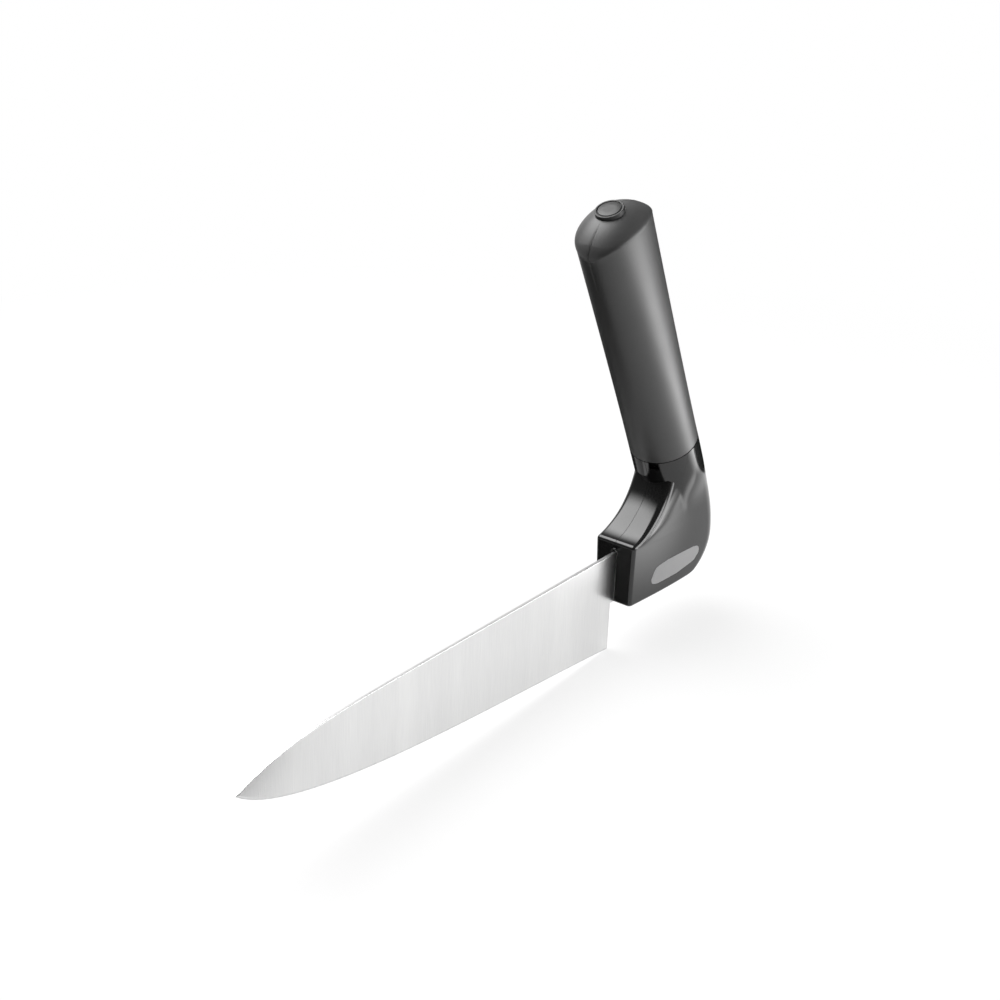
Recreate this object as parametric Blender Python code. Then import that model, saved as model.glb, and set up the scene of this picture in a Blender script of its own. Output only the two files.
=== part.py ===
"""Carving knife with an upright, forward leaning grip.

The knife is first drawn with x = 0 on the front face of the handle body, the tip towards -X,
the grip towards +Z and z = 0 at the heel of the blade, its lowest point. Everything is then
hung on an empty that puts the origin under the middle of the whole knife. The pieces of the
grip are drawn upright along their own axis and leaned forward by a second empty, which stands
at the centre of the seam between the body's collar and the grip.
"""
import math

import bmesh
import bpy
from mathutils import Matrix, Vector

MM = 0.001
GAP = 0.3 * MM
OVERRUN = 1 * MM

# Blade: a ground sheet steel blade with a full stock tang
BLADE_LENGTH = 200 * MM
SPINE_HEIGHT = 42.5 * MM
SPINE_THICKNESS = 1.6 * MM
EDGE_THICKNESS = 0.08 * MM
CHEEK_FOOT = 0.15 * MM
EDGE_ANGLE = math.radians(15)
HEEL_SETBACK = 2.1 * MM
TIP_HEIGHT = 33 * MM
SPINE_BEND_START = 78 * MM
SPINE_BEND_PULL = 35 * MM
SPINE_TIP_PULL = 18 * MM
SPINE_TIP_RISE = 7.9 * MM
EDGE_RISE_RUN = 78 * MM
EDGE_RISE = 7.9 * MM
BELLY_PULL = 25 * MM
BELLY_DROP = 22.1 * MM
SHOULDER_SETBACK = 0.3 * MM
STOCK_THICKNESS = 1.8 * MM
STOCK_MARGIN = 0.1 * MM
TAB_LENGTH = 6 * MM
TANG_LENGTH = 36 * MM
TANG_STEP = 5 * MM
TANG_TOP_DROP = 2 * MM
TANG_CORNER = 3 * MM
TANG_NOTCH_RADIUS = 1.5 * MM

# Body: two glossy half shells that meet on the middle plane
BODY_DEPTH = 61.7 * MM
BODY_BOTTOM = 20.5 * MM
BODY_FRONT_HALF_WIDTH = 8.7 * MM
BODY_SCOOP_HALF_WIDTH = 10 * MM
BODY_BACK_HALF_WIDTH = 10.6 * MM
SCOOP_WIDENS = 0.5
NECK_STARTS = 0.45
NECK_ENDS = 0.85
BACK_NECK_STARTS = 0.55
SCOOP_CROWN = 2.4 * MM
CROWN_POWER = 4
BODY_BACK_ROUND = 10 * MM
FRONT_EDGE_RADIUS = 1.5 * MM
BOTTOM_EDGE_RADIUS = 1.2 * MM
SHARP_RADIUS = 0.4 * MM
INNER_EDGE_RADIUS = 0.3 * MM
BACK_CORNER_DEPTH = 16.2 * MM
BACK_CORNER_HEIGHT = 14.5 * MM
BACK_CURVE_PULL = 17 * MM
BACK_FLARE = math.radians(1.5)
COLLAR_BACK_PULL = 18 * MM
LIP_RADIUS = 1.8 * MM
SCOOP_RADIUS = 30.5 * MM
SCOOP_X = -5 * MM
SCOOP_Z = 77 * MM
SCOOP_END = 6
SHELL_WALL = 2.5 * MM
SHELL_SPLIT = 0.3 * MM

# Handle axis and the seam between the collar and the grip
LEAN = math.radians(24.1)
SEAM_X = 30.2 * MM
SEAM_Z = 80.8 * MM
SEAM_RADIUS = 13.8 * MM
COLLAR_DEPTH = 15 * MM
COLLAR_CUT = 0.6
COLLAR_TUCK = 0.12 * MM

# Grip: a soft oval sleeve with a domed top, over a stiff core
GRIP_LENGTH = 109.8 * MM
GRIP_TOP_HALF_DEPTH = 17.4 * MM
GRIP_TOP_HALF_WIDTH = 12.2 * MM
GRIP_DEPTH_POWER = 1.3
GRIP_WIDTH_POWER = 0.8
DOME_RADIUS_FORE_AFT = 20 * MM
DOME_RADIUS_SIDE = 15.4 * MM
DOME_EDGE_ROUND = 0.9 * MM
SLEEVE_WALL = 2.2 * MM
CORE_BORE_RADIUS = 5.5 * MM
CORE_TOP_WALL = 4 * MM
FOOT_LENGTH = 34 * MM
FOOT_TOP_RADIUS = 10.2 * MM
FOOT_END_RADIUS = 7.6 * MM
SOCKET_WALL = 2 * MM
SOCKET_DEPTH = 30 * MM

# End plug: a round button pressed into the top of the core
PLUG_RADIUS = 5.4 * MM
PLUG_PROUD = 0.7 * MM
PLUG_SEAT_DEPTH = 1.0 * MM
PLUG_STEM_RADIUS = 3 * MM
PLUG_BARB_RADIUS = 3.8 * MM
PLUG_BARB_LENGTH = 3 * MM
PLUG_BARB_TIP_RADIUS = 2.4 * MM
PLUG_EDGE = 0.2 * MM
PLUG_RIM_WIDTH = 0.7 * MM
PLUG_GROOVE_WIDTH = 0.5 * MM
PLUG_GROOVE_DEPTH = 0.35 * MM

# Dowels that lock the tang and the core between the shells
DOWEL_RADIUS = 2 * MM
TANG_DOWEL_LENGTH = 12 * MM
CORE_DOWEL_LENGTH = 20 * MM
TANG_DOWEL_HEIGHT = 33.5 * MM
TANG_DOWEL_FRONT_X = 12 * MM
TANG_DOWEL_REAR_X = 28 * MM
CORE_DOWEL_DEPTH = 24 * MM
BOSS_WALL = 2 * MM

# Soft inlays, one on each side of the body
INLAY_FRONT_X = 17.1 * MM
INLAY_FRONT_Z = 29.3 * MM
INLAY_FRONT_RADIUS = 3.9 * MM
INLAY_MIDDLE_X = 36 * MM
INLAY_MIDDLE_Z = 29.5 * MM
INLAY_MIDDLE_RADIUS = 4.4 * MM
INLAY_BACK_X = 42.5 * MM
INLAY_BACK_Z = 30 * MM
INLAY_BACK_RADIUS = 3.6 * MM
INLAY_THICKNESS = 1.2 * MM
INLAY_PRISM_START = 4 * MM

# Small window in the rim of the left shell's collar
WINDOW_WIDTH = 4 * MM
WINDOW_HEIGHT = 3.3 * MM
WINDOW_DEPTH = 1.6 * MM
WINDOW_TURN = math.radians(15)

# Mesh fineness
SIDES = 40
EDGE_STATIONS = 26
SPINE_STATIONS = 12
ARC_STEPS = 4
BOTTOM_STEPS = 4
FACE_STEPS = 4
LIP_STEPS = 4
SCOOP_STEPS = 13
CROWN_STEPS = 5
EDGE_STEPS = 3
SIDE_STEPS = 8
ROUND_STEPS = 8
CROWN_ROWS = 9
BACK_CORNER_STEPS = 12
BACK_STEPS = 20
CAVITY_ROWS = 17
INLAY_SIDES = 28
SLEEVE_STEPS = 14
SLEEVE_DOME_STEPS = 6
CORE_STEPS = 8
CORE_DOME_STEPS = 4
BORE_SIDES = 24
BUTTON_SIDES = 32

ORIGIN_SHIFT = (BLADE_LENGTH - BODY_DEPTH) / 2
SEAM_CENTRE = Vector((SEAM_X, 0, SEAM_Z))
HANDLE_PLACE = Matrix.Translation(SEAM_CENTRE) @ Matrix.Rotation(-LEAN, 4, 'Y')
HANDLE_UP = Vector((-math.sin(LEAN), 0, math.cos(LEAN)))
HANDLE_BACK = Vector((math.cos(LEAN), 0, math.sin(LEAN)))


# Materials
def make_material(name, colour, roughness, metallic=0.0):
    material = bpy.data.materials.new(name)
    material.use_nodes = True
    shader = material.node_tree.nodes["Principled BSDF"]
    shader.inputs["Base Color"].default_value = (*colour, 1)
    shader.inputs["Roughness"].default_value = roughness
    shader.inputs["Metallic"].default_value = metallic
    return material


# Mesh helpers
def bezier(p0, p1, p2, p3, count):
    points = []
    for i in range(count + 1):
        t = i / count
        s = 1 - t
        points.append(s ** 3 * p0 + 3 * s * s * t * p1 + 3 * s * t * t * p2 + t ** 3 * p3)
    return points


def make_object(name, bm, material=None):
    mesh = bpy.data.meshes.new(name)
    bm.to_mesh(mesh)
    bm.free()
    piece = bpy.data.objects.new(name, mesh)
    bpy.context.collection.objects.link(piece)
    if material:
        mesh.materials.append(material)
    return piece


def loft(rings):
    """Skin a list of closed rings with the same number of points, with a face on each end."""
    bm = bmesh.new()
    rows = [[bm.verts.new(point) for point in ring] for ring in rings]
    count = len(rings[0])
    for lower, upper in zip(rows, rows[1:]):
        for i in range(count):
            j = (i + 1) % count
            bm.faces.new((lower[i], lower[j], upper[j], upper[i]))
    bm.faces.new(rows[0])
    bm.faces.new(rows[-1])
    bmesh.ops.recalc_face_normals(bm, faces=bm.faces)
    return bm


def turned(profile, sides=SIDES):
    """Turn a profile of (radius, height) pairs about Z; the first and last are on the ends."""
    rings = []
    for radius, height in profile:
        ring = []
        for i in range(sides):
            angle = 2 * math.pi * (i + 0.5) / sides
            ring.append(Vector((radius * math.cos(angle), radius * math.sin(angle), height)))
        rings.append(ring)
    return loft(rings)


def cylinder_across(x, z, radius, half_length, sides=BORE_SIDES):
    """A round bar along Y, centred on the middle plane."""
    bm = turned([(radius, -half_length), (radius, half_length)], sides)
    place = Matrix.Translation((x, 0, z)) @ Matrix.Rotation(math.pi / 2, 4, 'X')
    bmesh.ops.transform(bm, matrix=place, verts=bm.verts)
    return bm


def plate(outline, low, high):
    """A flat plate with an outline in XZ, from y = low to y = high."""
    return loft([[Vector((x, y, z)) for x, z in outline] for y in (low, high)])


def box(low, high):
    outline = [(low[0], low[2]), (high[0], low[2]), (high[0], high[2]), (low[0], high[2])]
    return plate(outline, low[1], high[1])


def combine(piece, bm, operation):
    """Join, cut or intersect a piece with a tool shape, which is used up."""
    tool = make_object("tool", bm)
    modifier = piece.modifiers.new("combine", 'BOOLEAN')
    modifier.operation = operation
    modifier.solver = 'EXACT'
    modifier.object = tool
    bpy.context.view_layer.update()
    evaluated = piece.evaluated_get(bpy.context.evaluated_depsgraph_get())
    mesh = bpy.data.meshes.new_from_object(evaluated)
    piece.modifiers.clear()
    piece.data = mesh
    bpy.data.objects.remove(tool)


def copy_mesh(piece):
    bm = bmesh.new()
    bm.from_mesh(piece.data)
    return bm


def in_handle(bm):
    """Move a shape drawn upright about the handle's axis to its leaning place."""
    bmesh.ops.transform(bm, matrix=HANDLE_PLACE, verts=bm.verts)
    return bm


# Blade
def cheek(x, z):
    """Half thickness of the ground blade: one flat plane on each side."""
    rise = (SPINE_THICKNESS / 2 - CHEEK_FOOT) / SPINE_HEIGHT
    thinning = rise * EDGE_RISE / EDGE_RISE_RUN
    return CHEEK_FOOT + rise * z + thinning * x


def edge_shoulder(x, z):
    """Height at which the edge bevel that starts at (x, z) meets the cheek."""
    rise = (SPINE_THICKNESS / 2 - CHEEK_FOOT) / SPINE_HEIGHT
    climb = (cheek(x, z) - EDGE_THICKNESS / 2) / (math.tan(EDGE_ANGLE) - rise)
    return z + climb


def blade_curves():
    tip = Vector((-BLADE_LENGTH, 0, TIP_HEIGHT))
    heel = Vector((-HEEL_SETBACK, 0, 0))
    edge = bezier(
        heel,
        heel + Vector((-EDGE_RISE_RUN, 0, EDGE_RISE)),
        tip + Vector((BELLY_PULL, 0, -BELLY_DROP)),
        tip,
        EDGE_STATIONS,
    )
    bend = Vector((SPINE_BEND_START - BLADE_LENGTH, 0, SPINE_HEIGHT))
    spine = bezier(
        bend,
        Vector((SPINE_BEND_PULL - BLADE_LENGTH, 0, SPINE_HEIGHT)),
        tip + Vector((SPINE_TIP_PULL, 0, SPINE_TIP_RISE)),
        tip,
        SPINE_STATIONS,
    )
    spine.insert(0, Vector((-SHOULDER_SETBACK, 0, SPINE_HEIGHT)))
    return edge, spine


def height_on(curve, x):
    """Height of a curve that runs towards -X, at a given x."""
    for a, b in zip(curve, curve[1:]):
        if b.x <= x <= a.x:
            return a.z + (b.z - a.z) * (x - a.x) / (b.x - a.x)
    return curve[-1].z


def ground_blade(bm):
    """The blade up to its shoulder. Gives back the four corners of the open end."""
    edge, spine = blade_curves()
    shoulders = [edge_shoulder(p.x, p.z) for p in edge]
    kept = [i for i, p in enumerate(edge) if shoulders[i] < height_on(spine, p.x)]
    spine = [p for p in spine if p.x >= edge[kept[-1]].x]
    tab_z = BODY_BOTTOM + GAP
    back = [Vector((-SHOULDER_SETBACK, 0, tab_z)), Vector((-HEEL_SETBACK, 0, tab_z))]
    sides = []
    bevels = []
    for side in (-1, 1):
        line = []
        for i in kept:
            p = edge[i]
            line.append(bm.verts.new((p.x, side * cheek(p.x, shoulders[i]), shoulders[i])))
        top = [bm.verts.new((p.x, side * cheek(p.x, p.z), p.z)) for p in spine]
        rear = [bm.verts.new((p.x, side * cheek(p.x, p.z), p.z)) for p in back]
        foot = [bm.verts.new((edge[i].x, side * EDGE_THICKNESS / 2, edge[i].z)) for i in kept]
        bm.faces.new(line + list(reversed(top)) + rear)
        for i in range(len(kept) - 1):
            bm.faces.new((foot[i], foot[i + 1], line[i + 1], line[i]))
        sides.append((line, top, rear))
        bevels.append(foot)
    (line_a, top_a, rear_a), (line_b, top_b, rear_b) = sides
    foot_a, foot_b = bevels
    for i in range(len(foot_a) - 1):
        bm.faces.new((foot_a[i], foot_a[i + 1], foot_b[i + 1], foot_b[i]))
    for i in range(len(top_a) - 1):
        bm.faces.new((top_a[i], top_a[i + 1], top_b[i + 1], top_b[i]))
    bm.faces.new((foot_a[0], line_a[0], rear_a[1], rear_b[1], line_b[0], foot_b[0]))
    bm.faces.new((rear_a[0], rear_a[1], rear_b[1], rear_b[0]))
    tip = bm.verts.new((-BLADE_LENGTH, 0, TIP_HEIGHT))
    nose = [foot_a[-1], line_a[-1], top_a[-1], top_b[-1], line_b[-1], foot_b[-1]]
    for a, b in zip(nose, nose[1:] + nose[:1]):
        bm.faces.new((a, b, tip))
    return rear_a[0], top_a[0], top_b[0], rear_b[0]


def tang_outline():
    """Outline of the full stock part behind the shoulder, from low front to high front."""
    low = BODY_BOTTOM + GAP - STOCK_MARGIN
    step = low + TANG_STEP
    top = SPINE_HEIGHT - TANG_TOP_DROP
    points = [(-SHOULDER_SETBACK, low), (TAB_LENGTH, low)]
    notch = TANG_NOTCH_RADIUS
    rear = TANG_LENGTH - TANG_CORNER
    points += arc(TAB_LENGTH + notch, step - notch, notch, 180, 90)
    points += arc(rear, step + TANG_CORNER, TANG_CORNER, -90, 0)
    points += arc(rear, top - TANG_CORNER, TANG_CORNER, 0, 90)
    points.append((TAB_LENGTH + TANG_CORNER, top))
    points.append((TAB_LENGTH, SPINE_HEIGHT + STOCK_MARGIN))
    points.append((-SHOULDER_SETBACK, SPINE_HEIGHT + STOCK_MARGIN))
    return points


def arc(x, z, radius, start, end):
    points = []
    for i in range(ARC_STEPS + 1):
        angle = math.radians(start + (end - start) * i / ARC_STEPS)
        points.append((x + radius * math.cos(angle), z + radius * math.sin(angle)))
    return points


def make_blade(material):
    bm = bmesh.new()
    low_a, high_a, high_b, low_b = ground_blade(bm)
    half = STOCK_THICKNESS / 2
    outline = tang_outline()
    rim_a = [bm.verts.new((x, -half, z)) for x, z in outline]
    rim_b = [bm.verts.new((x, half, z)) for x, z in outline]
    bm.faces.new(rim_a)
    bm.faces.new(rim_b)
    for i in range(len(outline) - 1):
        bm.faces.new((rim_a[i], rim_a[i + 1], rim_b[i + 1], rim_b[i]))
    inner = [low_a, high_a, high_b, low_b]
    outer = [rim_a[0], rim_a[-1], rim_b[-1], rim_b[0]]
    for i in range(4):
        j = (i + 1) % 4
        bm.faces.new((inner[i], inner[j], outer[j], outer[i]))
    bmesh.ops.recalc_face_normals(bm, faces=bm.faces)
    blade = make_object("blade", bm, material)
    for x in (TANG_DOWEL_FRONT_X, TANG_DOWEL_REAR_X):
        hole = cylinder_across(x, TANG_DOWEL_HEIGHT, DOWEL_RADIUS + GAP, STOCK_THICKNESS)
        combine(blade, hole, 'DIFFERENCE')
    return blade


# Body
def front_path(inset):
    """Points and inward directions up the front: face, lip and scoop. The face starts above
    the bottom edge's round, and the scoop runs on a little past the seam."""
    scoop = Vector((SCOOP_X, 0, SCOOP_Z))
    scoop_radius = SCOOP_RADIUS + inset
    lip_radius = max(LIP_RADIUS - inset, SHARP_RADIUS)
    lip_x = inset + lip_radius
    fall = math.sqrt((scoop_radius + lip_radius) ** 2 - (lip_x - SCOOP_X) ** 2)
    lip = Vector((lip_x, 0, SCOOP_Z - fall))
    path = []
    low = BODY_BOTTOM + inset + BOTTOM_EDGE_RADIUS
    for i in range(FACE_STEPS):
        path.append((Vector((inset, 0, low + (lip.z - low) * i / FACE_STEPS)), Vector((1, 0, 0))))
    to_scoop = scoop - lip
    last = math.atan2(to_scoop.z, to_scoop.x)
    for i in range(LIP_STEPS + 1):
        angle = math.pi + (last - math.pi) * i / LIP_STEPS
        out = Vector((math.cos(angle), 0, math.sin(angle)))
        path.append((lip + lip_radius * out, -out))
    start = last - math.pi
    end = math.radians(SCOOP_END)
    for i in range(1, SCOOP_STEPS + 1):
        angle = start + (end - start) * i / SCOOP_STEPS
        out = Vector((math.cos(angle), 0, math.sin(angle)))
        path.append((scoop + scoop_radius * out, out))
    return path


def back_path(inset):
    """Points down the back: from the bottom, round the corner and up to the collar."""
    corner_x = BODY_DEPTH - BACK_CORNER_DEPTH
    corner_z = BODY_BOTTOM + BACK_CORNER_HEIGHT
    depth = BACK_CORNER_DEPTH - inset
    height = BACK_CORNER_HEIGHT - inset
    path = []
    for i in range(BACK_CORNER_STEPS + 1):
        angle = math.pi / 2 * (i / BACK_CORNER_STEPS - 1)
        z = corner_z + height * math.sin(angle)
        path.append(Vector((corner_x + depth * math.cos(angle), 0, z)))
    waist = path[-1]
    collar = SEAM_CENTRE + (SEAM_RADIUS + COLLAR_TUCK - inset) * HANDLE_BACK
    flare = LEAN + BACK_FLARE
    down = Vector((math.sin(flare), 0, -math.cos(flare)))
    rise = Vector((0, 0, BACK_CURVE_PULL))
    path += bezier(waist, waist + rise, collar + COLLAR_BACK_PULL * down, collar, BACK_STEPS)[1:]
    path.append(collar + 2 * OVERRUN * HANDLE_UP)
    return path


def point_along(path, share):
    lengths = [(b - a).length for a, b in zip(path, path[1:])]
    left = share * sum(lengths)
    for start, end, length in zip(path, path[1:], lengths):
        if left <= length:
            return start.lerp(end, left / length)
        left -= length
    return path[-1].copy()


def widened(point, half, neck, inset):
    """Half width where the flat body swells into the round collar; neck runs from 0 to 1."""
    out = (point - SEAM_CENTRE).dot(HANDLE_BACK)
    collar = SEAM_RADIUS + COLLAR_TUCK - inset
    round_half = math.sqrt(max(collar ** 2 - out ** 2, 0))
    return half + neck * max(round_half - half, 0)


def body_row(front, inward, back, half_front, half_back, edge, depth, inset, neck=0.0, crown=0.0):
    """One closed ring of the body: crowned front, rounded front edges, sides and round back."""
    flat = widened(front, half_front, neck, inset) - edge
    right = []
    for k in range(1, CROWN_STEPS + 1):
        share = k / CROWN_STEPS
        rise = crown * (1 - share ** CROWN_POWER)
        right.append(front - inward * rise + Vector((0, flat * share, 0)))
    for i in range(1, EDGE_STEPS + 1):
        angle = math.pi / 2 * i / EDGE_STEPS
        step = inward * edge * (1 - math.cos(angle))
        right.append(front + step + Vector((0, flat + edge * math.sin(angle), 0)))
    start = front + inward * edge
    across = (back - start).normalized()
    centre = back - across * depth
    side = []
    for i in range(1, SIDE_STEPS):
        t = i / SIDE_STEPS
        half = half_front + (half_back - half_front) * math.sin(math.pi / 2 * t)
        side.append((start.lerp(centre, t), half))
    for i in range(ROUND_STEPS):
        angle = math.pi / 2 * i / ROUND_STEPS
        side.append((centre + across * depth * math.sin(angle), half_back * math.cos(angle)))
    for point, half in side:
        right.append(point + Vector((0, widened(point, half, neck, inset), 0)))
    left = [Vector((p.x, -p.y, p.z)) for p in reversed(right)]
    return [front - inward * crown] + right + [back] + left


def ease(t, start, end=1.0):
    """Smooth step from 0 at start to 1 at end."""
    share = min(max((t - start) / (end - start), 0), 1)
    return share * share * (3 - 2 * share)


def body_skin(inset=0.0, rows=None):
    """Outer skin of the body, or the same skin a wall thickness further in."""
    front = front_path(inset)
    back = back_path(inset)
    edge = max(FRONT_EDGE_RADIUS - inset, INNER_EDGE_RADIUS)
    seam_half = SEAM_RADIUS + COLLAR_TUCK
    steps = [(b[0] - a[0]).length for a, b in zip(front, front[1:])]
    total = sum(steps)
    skirt = [p for p in back if p.z <= front[0][0].z]
    first = sum((b - a).length for a, b in zip(skirt, skirt[1:]))
    first /= sum((b - a).length for a, b in zip(back, back[1:]))
    first_scoop = FACE_STEPS + LIP_STEPS
    rings = []
    low = BODY_BOTTOM + inset
    for i in range(BOTTOM_STEPS):
        angle = math.pi / 2 * i / BOTTOM_STEPS
        round_off = BOTTOM_EDGE_RADIUS * (1 - math.sin(angle))
        z = low + BOTTOM_EDGE_RADIUS * (1 - math.cos(angle))
        face = Vector((inset + round_off, 0, z))
        heel = point_along(back, first * i / BOTTOM_STEPS)
        heel.z = z
        rings.append(body_row(face, Vector((1, 0, 0)), heel,
                              BODY_FRONT_HALF_WIDTH - inset - round_off,
                              BODY_BACK_HALF_WIDTH - inset - round_off,
                              edge, BODY_BACK_ROUND - inset, inset))
    run = 0
    for i, (point, inward) in enumerate(front[:rows]):
        if i:
            run += steps[i - 1]
        t = run / total
        neck = ease(t, NECK_STARTS, NECK_ENDS)
        back_neck = ease(t, BACK_NECK_STARTS)
        half_front = BODY_FRONT_HALF_WIDTH
        half_front += (BODY_SCOOP_HALF_WIDTH - BODY_FRONT_HALF_WIDTH) * ease(t, 0, SCOOP_WIDENS)
        half_back = BODY_BACK_HALF_WIDTH + (seam_half - BODY_BACK_HALF_WIDTH) * back_neck
        depth = BODY_BACK_ROUND + (seam_half - BODY_BACK_ROUND) * back_neck
        end = point_along(back, first + (1 - first) * t)
        crown = 0
        if not inset and first_scoop <= i <= first_scoop + CROWN_ROWS:
            crown = SCOOP_CROWN * math.sin(math.pi * (i - first_scoop) / CROWN_ROWS) ** 2
        rings.append(body_row(point, inward, end, half_front - inset, half_back - inset,
                              edge, depth - inset, inset, neck, crown))
    return loft(rings)


def handle_cylinder(top_radius, top, bottom_radius, bottom):
    """A straight or tapered round bar on the handle's axis; heights count from the seam."""
    return in_handle(turned([(bottom_radius, bottom), (top_radius, top)]))


def collar_cylinder():
    """The round collar; its lower end is slanted, deep under the chin and shallow at the back."""
    bm = turned([(SEAM_RADIUS, -COLLAR_DEPTH), (SEAM_RADIUS, 2 * OVERRUN)])
    for vert in bm.verts:
        if vert.co.z < 0:
            vert.co.z += COLLAR_CUT * (vert.co.x + SEAM_RADIUS)
    return in_handle(bm)


def foot_radius(depth):
    return FOOT_TOP_RADIUS + (FOOT_END_RADIUS - FOOT_TOP_RADIUS) * depth / FOOT_LENGTH


def dowel_places():
    """Position and length of each dowel: front and rear of the tang, then the core."""
    core = SEAM_CENTRE - CORE_DOWEL_DEPTH * HANDLE_UP
    return [
        (TANG_DOWEL_FRONT_X, TANG_DOWEL_HEIGHT, TANG_DOWEL_LENGTH),
        (TANG_DOWEL_REAR_X, TANG_DOWEL_HEIGHT, TANG_DOWEL_LENGTH),
        (core.x, core.z, CORE_DOWEL_LENGTH),
    ]


def socket_and_bosses():
    """The socket for the core's foot and a boss round each dowel, all ending inside the walls."""
    socket_radius = foot_radius(SOCKET_DEPTH) + GAP + SOCKET_WALL
    tube = handle_cylinder(socket_radius, -COLLAR_DEPTH / 2, socket_radius, -SOCKET_DEPTH)
    frame = make_object("frame", tube)
    boss_radius = DOWEL_RADIUS + GAP + BOSS_WALL
    for x, z, _ in dowel_places():
        combine(frame, cylinder_across(x, z, boss_radius, BODY_DEPTH), 'UNION')
    combine(frame, body_skin(SHELL_WALL / 2), 'INTERSECT')
    bm = copy_mesh(frame)
    bpy.data.objects.remove(frame)
    return bm


def make_body():
    """The whole body before it is split, with its hollow, socket, bosses, slot and holes."""
    body = make_object("body", body_skin())
    combine(body, collar_cylinder(), 'UNION')
    above = SEAM_RADIUS * 3
    lid = in_handle(box((-above, -above, 0), (above, above, above)))
    combine(body, lid, 'DIFFERENCE')
    outside = copy_mesh(body)
    combine(body, body_skin(SHELL_WALL, CAVITY_ROWS), 'DIFFERENCE')
    combine(body, socket_and_bosses(), 'UNION')
    bore_depth = FOOT_LENGTH + OVERRUN
    bore_top = foot_radius(-OVERRUN) + GAP
    bore_end = foot_radius(bore_depth) + GAP
    combine(body, handle_cylinder(bore_top, OVERRUN, bore_end, -bore_depth), 'DIFFERENCE')
    combine(body, tang_slot(), 'DIFFERENCE')
    for x, z, length in dowel_places():
        combine(body, cylinder_across(x, z, DOWEL_RADIUS + GAP, length / 2 + GAP), 'DIFFERENCE')
    return body, outside


def tang_slot():
    """Room for the tang, with a round top end where the spine enters the front face."""
    half = STOCK_THICKNESS / 2 + GAP
    low = BODY_BOTTOM - OVERRUN
    step = BODY_BOTTOM - STOCK_MARGIN + TANG_STEP
    top = SPINE_HEIGHT + STOCK_MARGIN + GAP
    length = TANG_LENGTH + GAP
    outline = [(-OVERRUN, low), (TAB_LENGTH + GAP, low), (TAB_LENGTH + GAP, step), (length, step),
               (length, top - TANG_TOP_DROP), (TAB_LENGTH + TANG_CORNER, top), (-OVERRUN, top)]
    return plate(outline, -half, half)


def inlay_outline(grow):
    """A leaf shape: the tight band round three circles, grown all round by a clearance."""
    circles = [
        (Vector((INLAY_FRONT_X, INLAY_FRONT_Z)), INLAY_FRONT_RADIUS + grow),
        (Vector((INLAY_MIDDLE_X, INLAY_MIDDLE_Z)), INLAY_MIDDLE_RADIUS + grow),
        (Vector((INLAY_BACK_X, INLAY_BACK_Z)), INLAY_BACK_RADIUS + grow),
    ]
    points = []
    for i in range(INLAY_SIDES):
        angle = 2 * math.pi * (i + 0.5) / INLAY_SIDES
        out = Vector((math.cos(angle), math.sin(angle)))
        centre, radius = max(circles, key=lambda circle: circle[0].dot(out) + circle[1])
        points.append(tuple(centre + radius * out))
    return points


def make_shell(name, side, body, material):
    """One half of the body, with the seat of its inlay."""
    shell = make_object(name, copy_mesh(body), material)
    reach = BODY_DEPTH * 2
    lows = (-reach, side * SHELL_SPLIT / 2, -reach)
    highs = (reach, side * reach, reach * 2)
    corners = sorted((lows[1], highs[1]))
    combine(shell, box((lows[0], corners[0], lows[2]), (highs[0], corners[1], highs[2])), 'INTERSECT')
    combine(shell, inlay_layer(side, GAP, INLAY_THICKNESS + GAP), 'DIFFERENCE')
    return shell


def inlay_layer(side, grow, depth):
    """The part of the lozenge's prism that lies outside a skin sunk by a depth."""
    outer = BODY_DEPTH
    low, high = sorted((side * INLAY_PRISM_START, side * outer))
    prism = make_object("prism", plate(inlay_outline(grow), low, high))
    combine(prism, body_skin(depth), 'DIFFERENCE')
    bm = copy_mesh(prism)
    bpy.data.objects.remove(prism)
    return bm


def make_inlay(name, side, outside, material):
    inlay = make_object(name, outside, material)
    combine(inlay, inlay_layer(side, 0, INLAY_THICKNESS), 'INTERSECT')
    return inlay


def cut_window(shell):
    """A small open notch in the rim of the collar, just under the grip."""
    half = WINDOW_WIDTH / 2
    low = (-SEAM_RADIUS - OVERRUN, -half, -WINDOW_HEIGHT)
    notch = box(low, (-SEAM_RADIUS + WINDOW_DEPTH, half, OVERRUN))
    bmesh.ops.transform(notch, matrix=Matrix.Rotation(WINDOW_TURN, 4, 'Z'), verts=notch.verts)
    combine(shell, in_handle(notch), 'DIFFERENCE')


# Grip, core and plug, drawn upright about the handle's axis with the seam at z = 0
def grip_half_sizes(height, inset):
    t = max(height, 0) / GRIP_LENGTH
    depth = SEAM_RADIUS + (GRIP_TOP_HALF_DEPTH - SEAM_RADIUS) * t ** GRIP_DEPTH_POWER
    width = SEAM_RADIUS + (GRIP_TOP_HALF_WIDTH - SEAM_RADIUS) * t ** GRIP_WIDTH_POWER
    return depth - inset, width - inset


def dome_drop(x, y, inset):
    fore_aft = DOME_RADIUS_FORE_AFT - inset
    side = DOME_RADIUS_SIDE - inset
    return (fore_aft - math.sqrt(fore_aft ** 2 - x * x)) + (side - math.sqrt(side ** 2 - y * y))


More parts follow.
